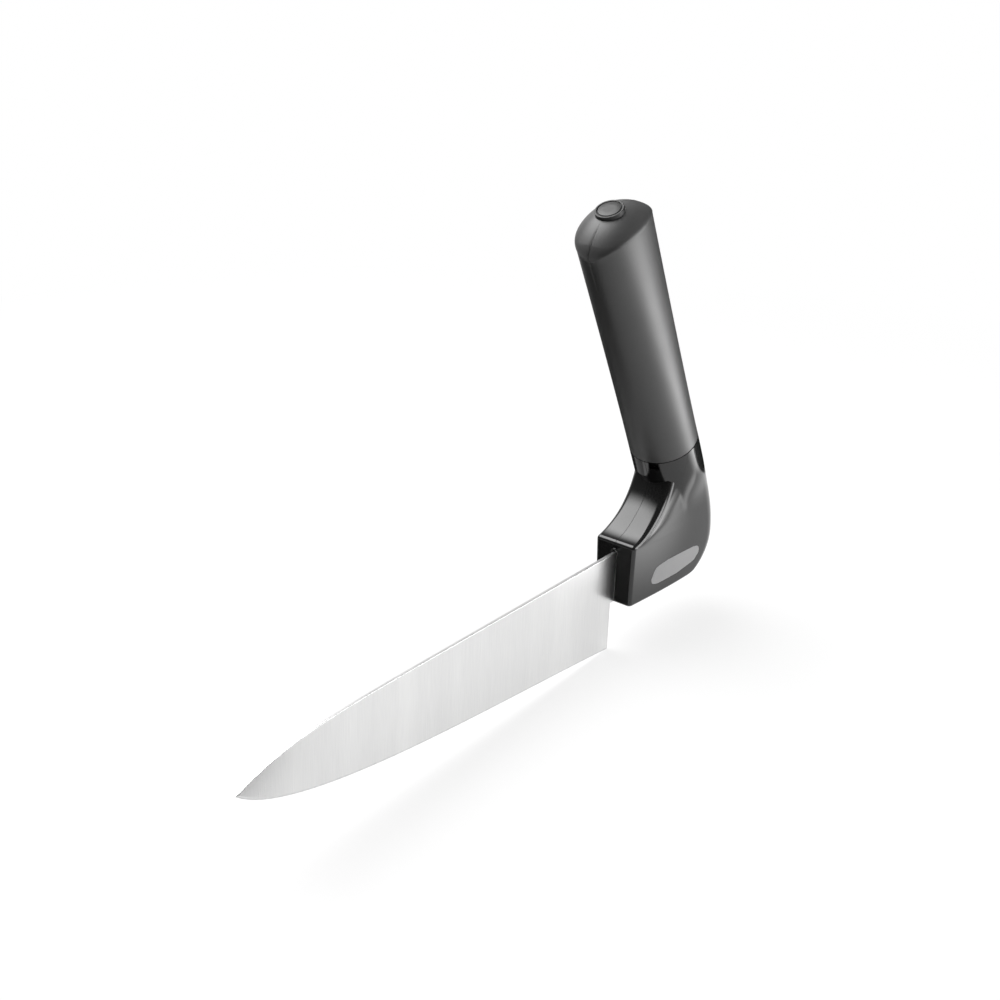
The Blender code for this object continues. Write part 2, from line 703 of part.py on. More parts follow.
def grip_solid(inset, bottom, side_steps, dome_steps):
    """The grip's oval body with its domed top, or the same a wall thickness further in."""
    apex = GRIP_LENGTH - inset
    angles = [2 * math.pi * i / SIDES for i in range(SIDES)]
    rims = []
    for angle in angles:
        depth, width = grip_half_sizes(apex, inset)
        x = depth * math.cos(angle)
        y = width * math.sin(angle)
        rims.append((x, y, apex - dome_drop(x, y, inset)))
    rings = []
    for step in range(side_steps + 1):
        ring = []
        for angle, (x, y, rim) in zip(angles, rims):
            height = bottom + (rim - DOME_EDGE_ROUND - bottom) * step / side_steps
            depth, width = grip_half_sizes(height, inset)
            ring.append(Vector((depth * math.cos(angle), width * math.sin(angle), height)))
        rings.append(ring)
    for step in range(dome_steps):
        share = (1 - DOME_EDGE_ROUND / SEAM_RADIUS) * (1 - step / dome_steps)
        ring = []
        for x, y, rim in rims:
            drop = dome_drop(x * share, y * share, inset)
            ring.append(Vector((x * share, y * share, apex - drop)))
        rings.append(ring)
    return loft(rings)


def make_sleeve(material):
    sleeve = make_object("grip_sleeve", grip_solid(0, GAP, SLEEVE_STEPS, SLEEVE_DOME_STEPS), material)
    combine(sleeve, grip_solid(SLEEVE_WALL, -OVERRUN, CORE_STEPS, CORE_DOME_STEPS), 'DIFFERENCE')
    seat = GRIP_LENGTH - PLUG_SEAT_DEPTH
    recess = PLUG_RADIUS + GAP
    combine(sleeve, turned([(recess, seat), (recess, GRIP_LENGTH + OVERRUN)]), 'DIFFERENCE')
    stem = PLUG_STEM_RADIUS + GAP
    below = seat - 2 * SLEEVE_WALL
    combine(sleeve, turned([(stem, below), (stem, seat + OVERRUN)], BORE_SIDES), 'DIFFERENCE')
    return sleeve


def make_core(material):
    inset = SLEEVE_WALL + GAP
    core = make_object("handle_core", grip_solid(inset, GAP, CORE_STEPS, CORE_DOME_STEPS), material)
    foot = turned([(FOOT_END_RADIUS, -FOOT_LENGTH), (FOOT_TOP_RADIUS, 0), (FOOT_TOP_RADIUS, 2 * OVERRUN)])
    combine(core, foot, 'UNION')
    roof = GRIP_LENGTH - inset - CORE_TOP_WALL
    bore = turned([(CORE_BORE_RADIUS, -FOOT_LENGTH - OVERRUN), (CORE_BORE_RADIUS, roof)], BORE_SIDES)
    combine(core, bore, 'DIFFERENCE')
    stem = PLUG_STEM_RADIUS + GAP
    combine(core, turned([(stem, roof - OVERRUN), (stem, GRIP_LENGTH)], BORE_SIDES), 'DIFFERENCE')
    radius = DOWEL_RADIUS + GAP
    hole = turned([(radius, -2 * FOOT_TOP_RADIUS), (radius, 2 * FOOT_TOP_RADIUS)], BORE_SIDES)
    place = Matrix.Translation((0, 0, -CORE_DOWEL_DEPTH)) @ Matrix.Rotation(math.pi / 2, 4, 'X')
    bmesh.ops.transform(hole, matrix=place, verts=hole.verts)
    combine(core, hole, 'DIFFERENCE')
    return core


def make_plug(material):
    seat = GRIP_LENGTH - PLUG_SEAT_DEPTH + GAP
    face = GRIP_LENGTH + PLUG_PROUD
    roof = GRIP_LENGTH - SLEEVE_WALL - GAP - CORE_TOP_WALL
    groove_outer = PLUG_RADIUS - PLUG_RIM_WIDTH
    groove_inner = groove_outer - PLUG_GROOVE_WIDTH
    profile = [
        (PLUG_BARB_TIP_RADIUS, roof - GAP - PLUG_BARB_LENGTH),
        (PLUG_BARB_RADIUS, roof - GAP - PLUG_BARB_LENGTH / 3),
        (PLUG_BARB_RADIUS, roof - GAP),
        (PLUG_STEM_RADIUS, roof - GAP),
        (PLUG_STEM_RADIUS, seat),
        (PLUG_RADIUS, seat),
        (PLUG_RADIUS, face - PLUG_EDGE),
        (PLUG_RADIUS - PLUG_EDGE, face),
        (groove_outer, face),
        (groove_outer, face - PLUG_GROOVE_DEPTH),
        (groove_inner, face - PLUG_GROOVE_DEPTH),
        (groove_inner, face),
        (groove_inner / 2, face),
    ]
    return make_object("end_plug", turned(profile, BUTTON_SIDES), material)


# Assembly
def make_empty(name, matrix, parent=None):
    empty = bpy.data.objects.new(name, None)
    bpy.context.collection.objects.link(empty)
    empty.parent = parent
    empty.matrix_local = matrix
    return empty


def shade(piece, angle=35):
    piece.data.shade_smooth()
    piece.data.set_sharp_from_angle(angle=math.radians(angle))


def build():
    for old in list(bpy.data.objects):
        bpy.data.objects.remove(old)
    steel = make_material("blade_steel", (0.62, 0.62, 0.62), 0.34, 1.0)
    gloss = make_material("body_gloss", (0.02, 0.02, 0.02), 0.16)
    stiff = make_material("core_plastic", (0.03, 0.03, 0.03), 0.5)
    soft = make_material("grip_rubber", (0.05, 0.05, 0.05), 0.55)
    button = make_material("plug_plastic", (0.04, 0.04, 0.04), 0.4)
    grey = make_material("inlay_grey", (0.34, 0.34, 0.34), 0.5)
    bright = make_material("dowel_steel", (0.6, 0.6, 0.6), 0.3, 1.0)

    body, outside = make_body()
    knife = [make_blade(steel)]
    for name, side in (("left", -1), ("right", 1)):
        knife.append(make_shell("body_shell_" + name, side, body, gloss))
        knife.append(make_inlay("inlay_" + name, side, outside.copy(), grey))
    outside.free()
    bpy.data.objects.remove(body)
    cut_window(knife[1])
    for name, (x, z, length) in zip(("tang_dowel_front", "tang_dowel_rear", "core_dowel"), dowel_places()):
        knife.append(make_object(name, cylinder_across(x, z, DOWEL_RADIUS, length / 2), bright))
    grip = [make_core(stiff), make_sleeve(soft), make_plug(button)]

    knife_origin = make_empty("knife_origin", Matrix.Translation((ORIGIN_SHIFT, 0, 0)))
    handle_axis = make_empty("handle_axis", HANDLE_PLACE, knife_origin)
    for piece in knife:
        piece.parent = knife_origin
        shade(piece)
    for piece in grip:
        piece.parent = handle_axis
        shade(piece)


build()
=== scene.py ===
"""Carving knife with an upright grip: the looks of each piece, in the order of its making.

Shapes are drawn as the solids were: x = 0 on the front face of the body, the tip towards -X and
z = 0 at the heel of the blade. Each finished mesh is then moved back to its place in the frame.
"""

import math

import bmesh
import bpy
from mathutils import Matrix, Vector


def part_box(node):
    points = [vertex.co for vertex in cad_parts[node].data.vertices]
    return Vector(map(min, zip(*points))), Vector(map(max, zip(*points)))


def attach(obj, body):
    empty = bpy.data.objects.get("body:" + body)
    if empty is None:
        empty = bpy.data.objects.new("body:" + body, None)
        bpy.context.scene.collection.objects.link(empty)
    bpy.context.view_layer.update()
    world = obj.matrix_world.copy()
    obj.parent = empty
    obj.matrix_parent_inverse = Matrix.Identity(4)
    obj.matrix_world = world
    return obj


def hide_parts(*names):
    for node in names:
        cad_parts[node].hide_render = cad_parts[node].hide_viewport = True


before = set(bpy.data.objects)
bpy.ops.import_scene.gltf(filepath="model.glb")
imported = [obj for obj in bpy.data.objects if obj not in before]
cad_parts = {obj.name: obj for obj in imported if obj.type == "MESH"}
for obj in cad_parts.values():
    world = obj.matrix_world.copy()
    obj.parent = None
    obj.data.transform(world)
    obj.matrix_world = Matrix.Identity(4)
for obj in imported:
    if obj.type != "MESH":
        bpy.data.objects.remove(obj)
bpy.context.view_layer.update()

# Blade. One piece of stainless sheet steel, ground thinner from the spine to the edge and towards
# the tip, with a fine bevel on each side. Its full-thickness tang is pushed into the body's slot,
# where two pins hold it.
MM = 0.001
BODY_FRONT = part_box("body_shell_left")[0].x
BLADE_LENGTH = BODY_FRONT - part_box("blade")[0].x
SPINE_HEIGHT = 42.5 * MM
SPINE_HALF = 0.8 * MM
SPINE_ROUND = 0.22 * MM
SPINE_BEND = 78 * MM
SPINE_PULLS = (Vector((-43, 0, 0)) * MM, Vector((18, 0, 7.9)) * MM)
TIP_HEIGHT = 33 * MM
EDGE_HALF = 0.04 * MM
EDGE_PULLS = (Vector((-78, 0, 7.9)) * MM, Vector((25, 0, -22.1)) * MM)
BEVEL_ANGLE = math.radians(15)
BEVEL_LIMIT = 0.6
CORNER_LIMITS = (0.6, 0.3)
CHEEK_FOOT = 0.15 * MM
CHEEK_RISE = (SPINE_HALF - CHEEK_FOOT) / SPINE_HEIGHT
CHEEK_ROWS = (0.25, 0.5, 0.75, 0.98)
TIP_THINNING = 0.1013
HEEL_SETBACK = 2.1 * MM
HEEL_TOP = 20.8 * MM
BLADE_STATIONS = 150
TIP_CROWDING = 1.5
STOCK_HALF = 0.9 * MM
TANG_LENGTH = 36 * MM
TANG_RISE = 5 * MM
TANG_DROP = 2 * MM
TAB_LENGTH = 6 * MM
TAB_SLOPE = 3 * MM
PIN_RADIUS = 2 * MM
PIN_HEIGHT = 33.5 * MM
PIN_X = (12 * MM, 28 * MM)
CLEARANCE = 0.3 * MM
STEEL_TONES = ((0.7, 0.7, 0.7), (0.82, 0.82, 0.815))
# Painted shade: the dark tone laid along the blade's edges, standing in for the dark outline that
# they mirror.
STEEL_EDGE_SHADE = (0.4, 0.4, 0.4)


def bezier(p0, p1, p2, p3, count):
    points = []
    for i in range(count + 1):
        t = i / count
        s = 1 - t
        points.append(s ** 3 * p0 + 3 * s * s * t * p1 + 3 * s * t * t * p2 + t ** 3 * p3)
    return points


def around(count):
    """Angles of evenly spaced points round a circle."""
    return [2 * math.pi * (i + 0.5) / count for i in range(count)]


def skin(rings, joined=False):
    """Skin a list of closed rings of points; the ends are capped, or joined to one another."""
    bm = bmesh.new()
    rows = [[bm.verts.new(point) for point in ring] for ring in rings]
    count = len(rings[0])
    pairs = list(zip(rows, rows[1:]))
    if joined:
        pairs.append((rows[-1], rows[0]))
    for low, high in pairs:
        for i in range(count):
            j = (i + 1) % count
            bm.faces.new((low[i], low[j], high[j], high[i]))
    if not joined:
        bm.faces.new(rows[0])
        bm.faces.new(rows[-1])
    bmesh.ops.recalc_face_normals(bm, faces=bm.faces)
    return bm


def round_bar(radius, low, high, sides=96):
    """An upright round bar about Z."""
    circle = [(radius * math.cos(a), radius * math.sin(a)) for a in around(sides)]
    return skin([[Vector((x, y, z)) for x, y in circle] for z in (low, high)])


def pin_shape(x, z, radius, half_length):
    """A round bar across the knife, centred on its middle plane."""
    bm = round_bar(radius, -half_length, half_length, sides=48)
    place = Matrix.Translation((x, 0, z)) @ Matrix.Rotation(math.pi / 2, 4, 'X')
    bmesh.ops.transform(bm, matrix=place, verts=bm.verts)
    return bm


def flat_plate(outline, low, high):
    """A plate with an outline in XZ, from y = low to y = high."""
    return skin([[Vector((x, y, z)) for x, z in outline] for y in (low, high)])


def block(low, high):
    outline = [(low[0], low[2]), (high[0], low[2]), (high[0], high[2]), (low[0], high[2])]
    return flat_plate(outline, low[1], high[1])


def as_object(name, bm):
    mesh = bpy.data.meshes.new(name)
    bm.to_mesh(mesh)
    bm.free()
    made = bpy.data.objects.new(name, mesh)
    bpy.context.collection.objects.link(made)
    return made


def carve(made, bm, how):
    """Join, cut or intersect a piece with a tool shape, which is used up."""
    tool = as_object("tool", bm)
    modifier = made.modifiers.new("carve", 'BOOLEAN')
    modifier.operation = how
    modifier.solver = 'EXACT'
    modifier.object = tool
    bpy.context.view_layer.update()
    carved = made.evaluated_get(bpy.context.evaluated_depsgraph_get())
    mesh = bpy.data.meshes.new_from_object(carved)
    made.modifiers.clear()
    made.data = mesh
    bpy.data.objects.remove(tool)


def finish_piece(made, material, node, sharp_angle):
    """Smooth the piece, move it to its place in the frame and let it stand for its node."""
    made.data.transform(Matrix.Translation((BODY_FRONT, 0, 0)))
    made.data.materials.clear()
    made.data.materials.append(material)
    made.data.shade_smooth()
    made.data.set_sharp_from_angle(angle=math.radians(sharp_angle))
    weigh = made.modifiers.new("even_shading", 'WEIGHTED_NORMAL')
    weigh.keep_sharp = True
    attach(made, "root")
    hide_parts(node)


def cheek(x, z):
    """Half thickness of the ground blade."""
    return CHEEK_FOOT + CHEEK_RISE * z + TIP_THINNING * CHEEK_RISE * x


def height_on(curve, x):
    """Height of a curve that runs towards the tip, at one place along the blade."""
    for a, b in zip(curve, curve[1:]):
        if b.x <= x <= a.x:
            return a.z + (b.z - a.z) * (x - a.x) / (b.x - a.x)
    return curve[-1].z if x < curve[-1].x else curve[0].z


def blade_section(x, low, high):
    """One closed ring of the blade: edge, bevel, flat cheek and softly broken spine corner."""
    shoulder = low + (cheek(x, low) - EDGE_HALF) / (math.tan(BEVEL_ANGLE) - CHEEK_RISE)
    shoulder = min(shoulder, low + BEVEL_LIMIT * (high - low))
    widest, tallest = CORNER_LIMITS
    corner = min(SPINE_ROUND, widest * cheek(x, high), tallest * (high - low))
    bevel = min(EDGE_HALF + (shoulder - low) * math.tan(BEVEL_ANGLE), cheek(x, shoulder))
    side = [(EDGE_HALF, low), (bevel, shoulder)]
    for share in CHEEK_ROWS:
        z = shoulder + (high - corner - shoulder) * share
        side.append((bevel + (cheek(x, z) - cheek(x, shoulder)), z))
    flat = side[-1][0]
    steps = 8
    for i in range(steps + 1):
        turn = math.pi / 2 * i / steps
        side.append((flat - corner * (1 - math.cos(turn)), high - corner + corner * math.sin(turn)))
    ring = [Vector((x, y, z)) for y, z in side]
    return ring + [Vector((x, -p.y, p.z)) for p in reversed(ring)]


def tang_outline():
    """The flat tang: a tab as high as the slot's mouth, then a lower tongue for the pins."""
    low = HEEL_TOP + TANG_RISE
    high = SPINE_HEIGHT - TANG_DROP
    return [(CLEARANCE, HEEL_TOP), (TAB_LENGTH, HEEL_TOP), (TAB_LENGTH, low), (TANG_LENGTH, low),
            (TANG_LENGTH, high), (TAB_LENGTH + TAB_SLOPE, high), (TAB_LENGTH, SPINE_HEIGHT),
            (CLEARANCE, SPINE_HEIGHT)]


def make_blade():
    tip = Vector((-BLADE_LENGTH, 0, TIP_HEIGHT))
    heel = Vector((-HEEL_SETBACK, 0, 0))
    bend = Vector((SPINE_BEND - BLADE_LENGTH, 0, SPINE_HEIGHT))
    edge = bezier(heel, heel + EDGE_PULLS[0], tip + EDGE_PULLS[1], tip, count=160)
    spine = bezier(bend, bend + SPINE_PULLS[0], tip + SPINE_PULLS[1], tip, count=120)
    rings = [blade_section(TAB_LENGTH, 0, SPINE_HEIGHT)]
    for i in range(BLADE_STATIONS):
        reach = 1 - (1 - i / BLADE_STATIONS) ** TIP_CROWDING
        x = -HEEL_SETBACK - (BLADE_LENGTH - HEEL_SETBACK) * reach
        high = SPINE_HEIGHT if x > bend.x else height_on(spine, x)
        rings.append(blade_section(x, height_on(edge, x), high))
    made = as_object("blade_ground", skin(rings))
    carve(made, block((-HEEL_SETBACK, -1, -1), (1, 1, HEEL_TOP)), 'DIFFERENCE')
    carve(made, flat_plate(tang_outline(), -STOCK_HALF, STOCK_HALF), 'UNION')
    for x in PIN_X:
        hole = pin_shape(x, PIN_HEIGHT, PIN_RADIUS + CLEARANCE, 2 * STOCK_HALF)
        carve(made, hole, 'DIFFERENCE')
    return made


def new_material(name):
    """A bare Principled material with a place to build its nodes."""
    material = bpy.data.materials.new(name)
    material.use_nodes = True
    tree = material.node_tree
    return material, tree, tree.nodes["Principled BSDF"]


def object_point(tree, scale=(1, 1, 1)):
    """Object coordinates stretched by a scale on each axis."""
    place = tree.nodes.new("ShaderNodeTexCoord")
    stretch = tree.nodes.new("ShaderNodeVectorMath")
    stretch.operation = 'MULTIPLY'
    stretch.inputs[1].default_value = scale
    tree.links.new(place.outputs["Object"], stretch.inputs[0])
    return stretch.outputs[0]


def noise_on(tree, point, scale, detail=4.0, rough=0.55):
    noise = tree.nodes.new("ShaderNodeTexNoise")
    noise.inputs["Scale"].default_value = scale
    noise.inputs["Detail"].default_value = detail
    noise.inputs["Roughness"].default_value = rough
    tree.links.new(point, noise.inputs["Vector"])
    return noise.outputs["Fac"]


def spread(tree, value, low, high, start=0.3, end=0.7):
    """Map a value between start and end to a range of plain numbers."""
    ranged = tree.nodes.new("ShaderNodeMapRange")
    ranged.inputs["From Min"].default_value = start
    ranged.inputs["From Max"].default_value = end
    ranged.inputs["To Min"].default_value = low
    ranged.inputs["To Max"].default_value = high
    tree.links.new(value, ranged.inputs["Value"])
    return ranged.outputs["Result"]


def combine(tree, operation, first, second):
    step = tree.nodes.new("ShaderNodeMath")
    step.operation = operation
    tree.links.new(first, step.inputs[0])
    tree.links.new(second, step.inputs[1])
    return step.outputs[0]


def blend_colours(tree, value, dark, light):
    mix = tree.nodes.new("ShaderNodeMix")
    mix.data_type = 'RGBA'
    mix.inputs["A"].default_value = dark
    mix.inputs["B"].default_value = light
    tree.links.new(value, mix.inputs["Factor"])
    return mix.outputs["Result"]


def start_group(name, inputs, outputs):
    """An empty node group with its named sockets."""
    group = bpy.data.node_groups.new(name, 'ShaderNodeTree')
    for label, kind, value in inputs:
        socket = group.interface.new_socket(label, in_out='INPUT', socket_type=kind)
        socket.default_value = value
    for label, kind in outputs:
        group.interface.new_socket(label, in_out='OUTPUT', socket_type=kind)
    given = group.nodes.new("NodeGroupInput").outputs
    return group, given, group.nodes.new("NodeGroupOutput").inputs


NUMBER = 'NodeSocketFloat'
COLOUR = 'NodeSocketColor'
BLACK = (0, 0, 0, 1)
WHITE = (1, 1, 1, 1)
CLOUD_SCALE = 60
GRAIN_SCALE = 2000
GRAIN_SHARE = 0.4


def grain_group():
    """Clouded tone and roughness over a fine grain; a stretch draws both out into lines."""
    inputs = (("Stretch", 'NodeSocketVector', (1, 1, 1)), ("Cloud Scale", NUMBER, CLOUD_SCALE),
              ("Grain Scale", NUMBER, GRAIN_SCALE), ("Dark", COLOUR, BLACK),
              ("Light", COLOUR, WHITE), ("Smooth", NUMBER, 0.3), ("Rough", NUMBER, 0.5))
    outputs = (("Tone", COLOUR), ("Roughness", NUMBER), ("Grain", NUMBER))
    group, given, made = start_group("grain_and_clouds", inputs, outputs)
    point = object_point(group)
    group.links.new(given["Stretch"], point.node.inputs[1])
    cloud = noise_on(group, point, CLOUD_SCALE)
    grain = noise_on(group, point, GRAIN_SCALE, detail=2.0, rough=0.65)
    group.links.new(given["Cloud Scale"], cloud.node.inputs["Scale"])
    group.links.new(given["Grain Scale"], grain.node.inputs["Scale"])
    both = group.nodes.new("ShaderNodeMix")
    both.inputs["Factor"].default_value = GRAIN_SHARE
    group.links.new(cloud, both.inputs["A"])
    group.links.new(grain, both.inputs["B"])
    tone = blend_colours(group, spread(group, both.outputs["Result"], 0, 1), BLACK, WHITE)
    group.links.new(given["Dark"], tone.node.inputs["A"])
    group.links.new(given["Light"], tone.node.inputs["B"])
    rough = spread(group, both.outputs["Result"], 0, 1)
    group.links.new(given["Smooth"], rough.node.inputs["To Min"])
    group.links.new(given["Rough"], rough.node.inputs["To Max"])
    group.links.new(tone, made["Tone"])
    group.links.new(rough, made["Roughness"])
    group.links.new(grain, made["Grain"])
    return group


EDGE_MARK_WIDTH = 0.3 * MM
EDGE_MARK_TURN = (0.93, 0.995)
EDGE_MARK_PATCHES = 400


def edge_group():
    """Edges, in patches, where the bevelled normal leaves the true one: worn lighter on most
    pieces, painted shade on the blade.
    """
    inputs = (("Width", NUMBER, EDGE_MARK_WIDTH),)
    group, given, made = start_group("edge_wear_and_shade", inputs, (("Mask", NUMBER),))
    bevel = group.nodes.new("ShaderNodeBevel")
    group.links.new(given["Width"], bevel.inputs["Radius"])
    turn = group.nodes.new("ShaderNodeVectorMath")
    turn.operation = 'DOT_PRODUCT'
    group.links.new(bevel.outputs["Normal"], turn.inputs[0])
    true_normal = group.nodes.new("ShaderNodeNewGeometry").outputs["Normal"]
    group.links.new(true_normal, turn.inputs[1])
    edges = spread(group, turn.outputs["Value"], 1, 0, *EDGE_MARK_TURN)
    patches = spread(group, noise_on(group, object_point(group), EDGE_MARK_PATCHES), 0.2, 1)
    group.links.new(combine(group, 'MULTIPLY', edges, patches), made["Mask"])
    return group


GRAIN = grain_group()
EDGE_WEAR_AND_SHADE = edge_group()


def surface(name, tones, roughness, clouds, grain, depth, edge_tone, stretch=(1, 1, 1),
            edge=EDGE_MARK_WIDTH):
    """A material with clouded tone, grain in tone, shine and relief, and a tone of its own at the
    edges: lighter wear on most pieces, painted shade on the blade's steel.
    """
    material, tree, shader = new_material(name)
    body = tree.nodes.new("ShaderNodeGroup")
    body.node_tree = GRAIN
    settings = {"Stretch": stretch, "Cloud Scale": clouds, "Grain Scale": grain,
                "Dark": (*tones[0], 1), "Light": (*tones[1], 1),
                "Smooth": roughness[0], "Rough": roughness[1]}
    for label, value in settings.items():
        body.inputs[label].default_value = value
    edges = tree.nodes.new("ShaderNodeGroup")
    edges.node_tree = EDGE_WEAR_AND_SHADE
    edges.inputs["Width"].default_value = edge
    tone = blend_colours(tree, edges.outputs["Mask"], BLACK, (*edge_tone, 1))
    tree.links.new(body.outputs["Tone"], tone.node.inputs["A"])
    bump = tree.nodes.new("ShaderNodeBump")
    bump.inputs["Distance"].default_value = depth
    tree.links.new(body.outputs["Grain"], bump.inputs["Height"])
    tree.links.new(tone, shader.inputs["Base Color"])
    tree.links.new(body.outputs["Roughness"], shader.inputs["Roughness"])
    tree.links.new(bump.outputs["Normal"], shader.inputs["Normal"])
    return material, shader


# The steel's edges are painted dark over a wide band: painted shade for the dark outline along the
# blade's edges.
steel, steel_shader = surface("blade_steel", STEEL_TONES, roughness=(0.26, 0.37), clouds=45,
                              grain=2600, depth=0.006 * MM, edge_tone=STEEL_EDGE_SHADE,
                              stretch=(1, 1, 0.03), edge=0.7 * MM)
steel_shader.inputs["Metallic"].default_value = 1
finish_piece(make_blade(), steel, "blade", sharp_angle=12)

# Pins. Three plain ground steel pins that lie across the inside of the body: two through the tang
# and one through the foot of the grip's core. The shells close over their ends.
PIN_TONES = ((0.5, 0.5, 0.5), (0.62, 0.62, 0.61))
PIN_RUBBED = (0.7, 0.7, 0.69)


def paint_node(node, material):
    """Give its material to a hidden piece that is shown by its solid."""
    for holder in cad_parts[node].material_slots:
        holder.material = material


pin_steel, pin_shader = surface("pin_steel", PIN_TONES, roughness=(0.22, 0.34), clouds=90,
                                grain=4000, depth=0.004 * MM, edge_tone=PIN_RUBBED,
                                stretch=(1, 0.05, 1))
pin_shader.inputs["Metallic"].default_value = 1
for pin in ("tang_dowel_front", "tang_dowel_rear", "core_dowel"):
    paint_node(pin, pin_steel)

# Body. Two half shells of glossy black plastic, moulded with the round collar for the grip and
# closed on each other along the middle plane. The scoop in front is where the fingers rest.
BODY_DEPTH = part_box("body_shell_left")[1].x - BODY_FRONT
BODY_BOTTOM = 20.5 * MM
FRONT_HALF = 8.7 * MM
FRONT_EDGE = 1.5 * MM
BOTTOM_EDGE = 1.2 * MM
LEAST_EDGE = 0.3 * MM
LIP_RADIUS = 1.8 * MM
LEAST_LIP = 0.4 * MM
SCOOP_RADIUS = 30.5 * MM
SCOOP_CENTRE = Vector((-5, 0, 77)) * MM
SCOOP_END = 6
SCOOP_HALF = 9.3 * MM
SCOOP_CROWN = 0.95 * MM
SCOOP_BOW = 0.35 * MM
SHOULDER = 2.6 * MM
SIDE_LEAN = math.radians(3)
ROLL_SHARE = 0.35
BACK_HALF = 10.6 * MM
BACK_ROUND = 10 * MM
BACK_CORNER_DEPTH = 16.2 * MM
BACK_CORNER_HEIGHT = 14.5 * MM
BACK_PULL = 17 * MM
LEAN = math.radians(24.1)
SEAM_CENTRE = Vector((30.2, 0, 80.8)) * MM
SEAM_RADIUS = 13.8 * MM
COLLAR_STEP = 0.03 * MM
COLLAR_FLARE = math.radians(1.5)
COLLAR_PULL = 18
COLLAR_DEPTH = 15 * MM
COLLAR_SLOPE = 0.6
COLLAR_OVERRUN = 2 * MM
HANDLE_PLACE = Matrix.Translation(SEAM_CENTRE) @ Matrix.Rotation(-LEAN, 4, 'Y')
HANDLE_UP = Vector((-math.sin(LEAN), 0, math.cos(LEAN)))
HANDLE_BACK = Vector((math.cos(LEAN), 0, math.sin(LEAN)))
FOOT_ROWS = 4
FACE_ROWS = 4
LIP_ROWS = 4
SCOOP_ROWS = 16
CORNER_ROWS = 12
BACK_ROWS = 20
SOFT_ROWS = (8, 14)
WIDENING = (0, 0.5)
SWELLING = (0.45, 0.85)
ROUNDING = (0.55, 1.0)
SIDES = (("left", -1), ("right", 1))


def in_handle(bm):
    """Move a shape from the grip's own axes, with Z up the grip, to its place on the knife."""
    bmesh.ops.transform(bm, matrix=HANDLE_PLACE, verts=bm.verts)
    return bm


def ease(t, start, end):
    share = min(max((t - start) / (end - start), 0), 1)
    return share * share * (3 - 2 * share)


def front_path(inset, fine):
    """Points and inward directions up the front: face, rounded lip and scoop."""
    radius = SCOOP_RADIUS + inset
    lip_radius = max(LIP_RADIUS - inset, LEAST_LIP)
    lip_x = inset + lip_radius
    fall = math.sqrt((radius + lip_radius) ** 2 - (lip_x - SCOOP_CENTRE.x) ** 2)
    lip = Vector((lip_x, 0, SCOOP_CENTRE.z - fall))
    low = BODY_BOTTOM + inset + BOTTOM_EDGE
    path = []
    face_rows = FACE_ROWS * fine
    for i in range(face_rows):
        path.append((Vector((inset, 0, low + (lip.z - low) * i / face_rows)), Vector((1, 0, 0))))
    to_scoop = SCOOP_CENTRE - lip
    last = math.atan2(to_scoop.z, to_scoop.x)
    lip_rows = LIP_ROWS * fine
    for i in range(lip_rows + 1):
        turn = math.pi + (last - math.pi) * i / lip_rows
        out = Vector((math.cos(turn), 0, math.sin(turn)))
        path.append((lip + lip_radius * out, -out))
    scoop_rows = SCOOP_ROWS * fine
    for i in range(1, scoop_rows + 1):
        turn = last - math.pi + (math.radians(SCOOP_END) + math.pi - last) * i / scoop_rows
        out = Vector((math.cos(turn), 0, math.sin(turn)))
        path.append((SCOOP_CENTRE + radius * out, out))
    return path


def back_path(inset, fine):
    """Points up the back: under the body, round the corner and up to the collar."""
    path = []
    corner_rows = CORNER_ROWS * fine
    for i in range(corner_rows + 1):
        turn = math.pi / 2 * (i / corner_rows - 1)
        x = BODY_DEPTH - BACK_CORNER_DEPTH + (BACK_CORNER_DEPTH - inset) * math.cos(turn)
        rise = (BACK_CORNER_HEIGHT - inset) * math.sin(turn)
        path.append(Vector((x, 0, BODY_BOTTOM + BACK_CORNER_HEIGHT + rise)))
    start = path[-1]
    collar = SEAM_CENTRE + (SEAM_RADIUS + COLLAR_STEP - inset) * HANDLE_BACK
    flare = LEAN + COLLAR_FLARE
    pull = Vector((math.sin(flare), 0, -math.cos(flare))) * COLLAR_PULL * MM
    above = start + Vector((0, 0, BACK_PULL))
    path += bezier(start, above, collar + pull, collar, BACK_ROWS * fine)[1:]
    path.append(collar + COLLAR_OVERRUN * HANDLE_UP)
    return path


def path_length(path):
    return sum((b - a).length for a, b in zip(path, path[1:]))


def point_along(path, share):
    left = share * path_length(path)
    for start, end in zip(path, path[1:]):
        length = (end - start).length
        if left <= length:
            return start.lerp(end, left / length)
        left -= length
    return path[-1].copy()


def swollen(point, half, neck, inset):
    """Half width where the flat body swells into the round collar."""
    out = (point - SEAM_CENTRE).dot(HANDLE_BACK)
    round_half = math.sqrt(max((SEAM_RADIUS + COLLAR_STEP - inset) ** 2 - out ** 2, 0))
    return half + neck * max(round_half - half, 0)


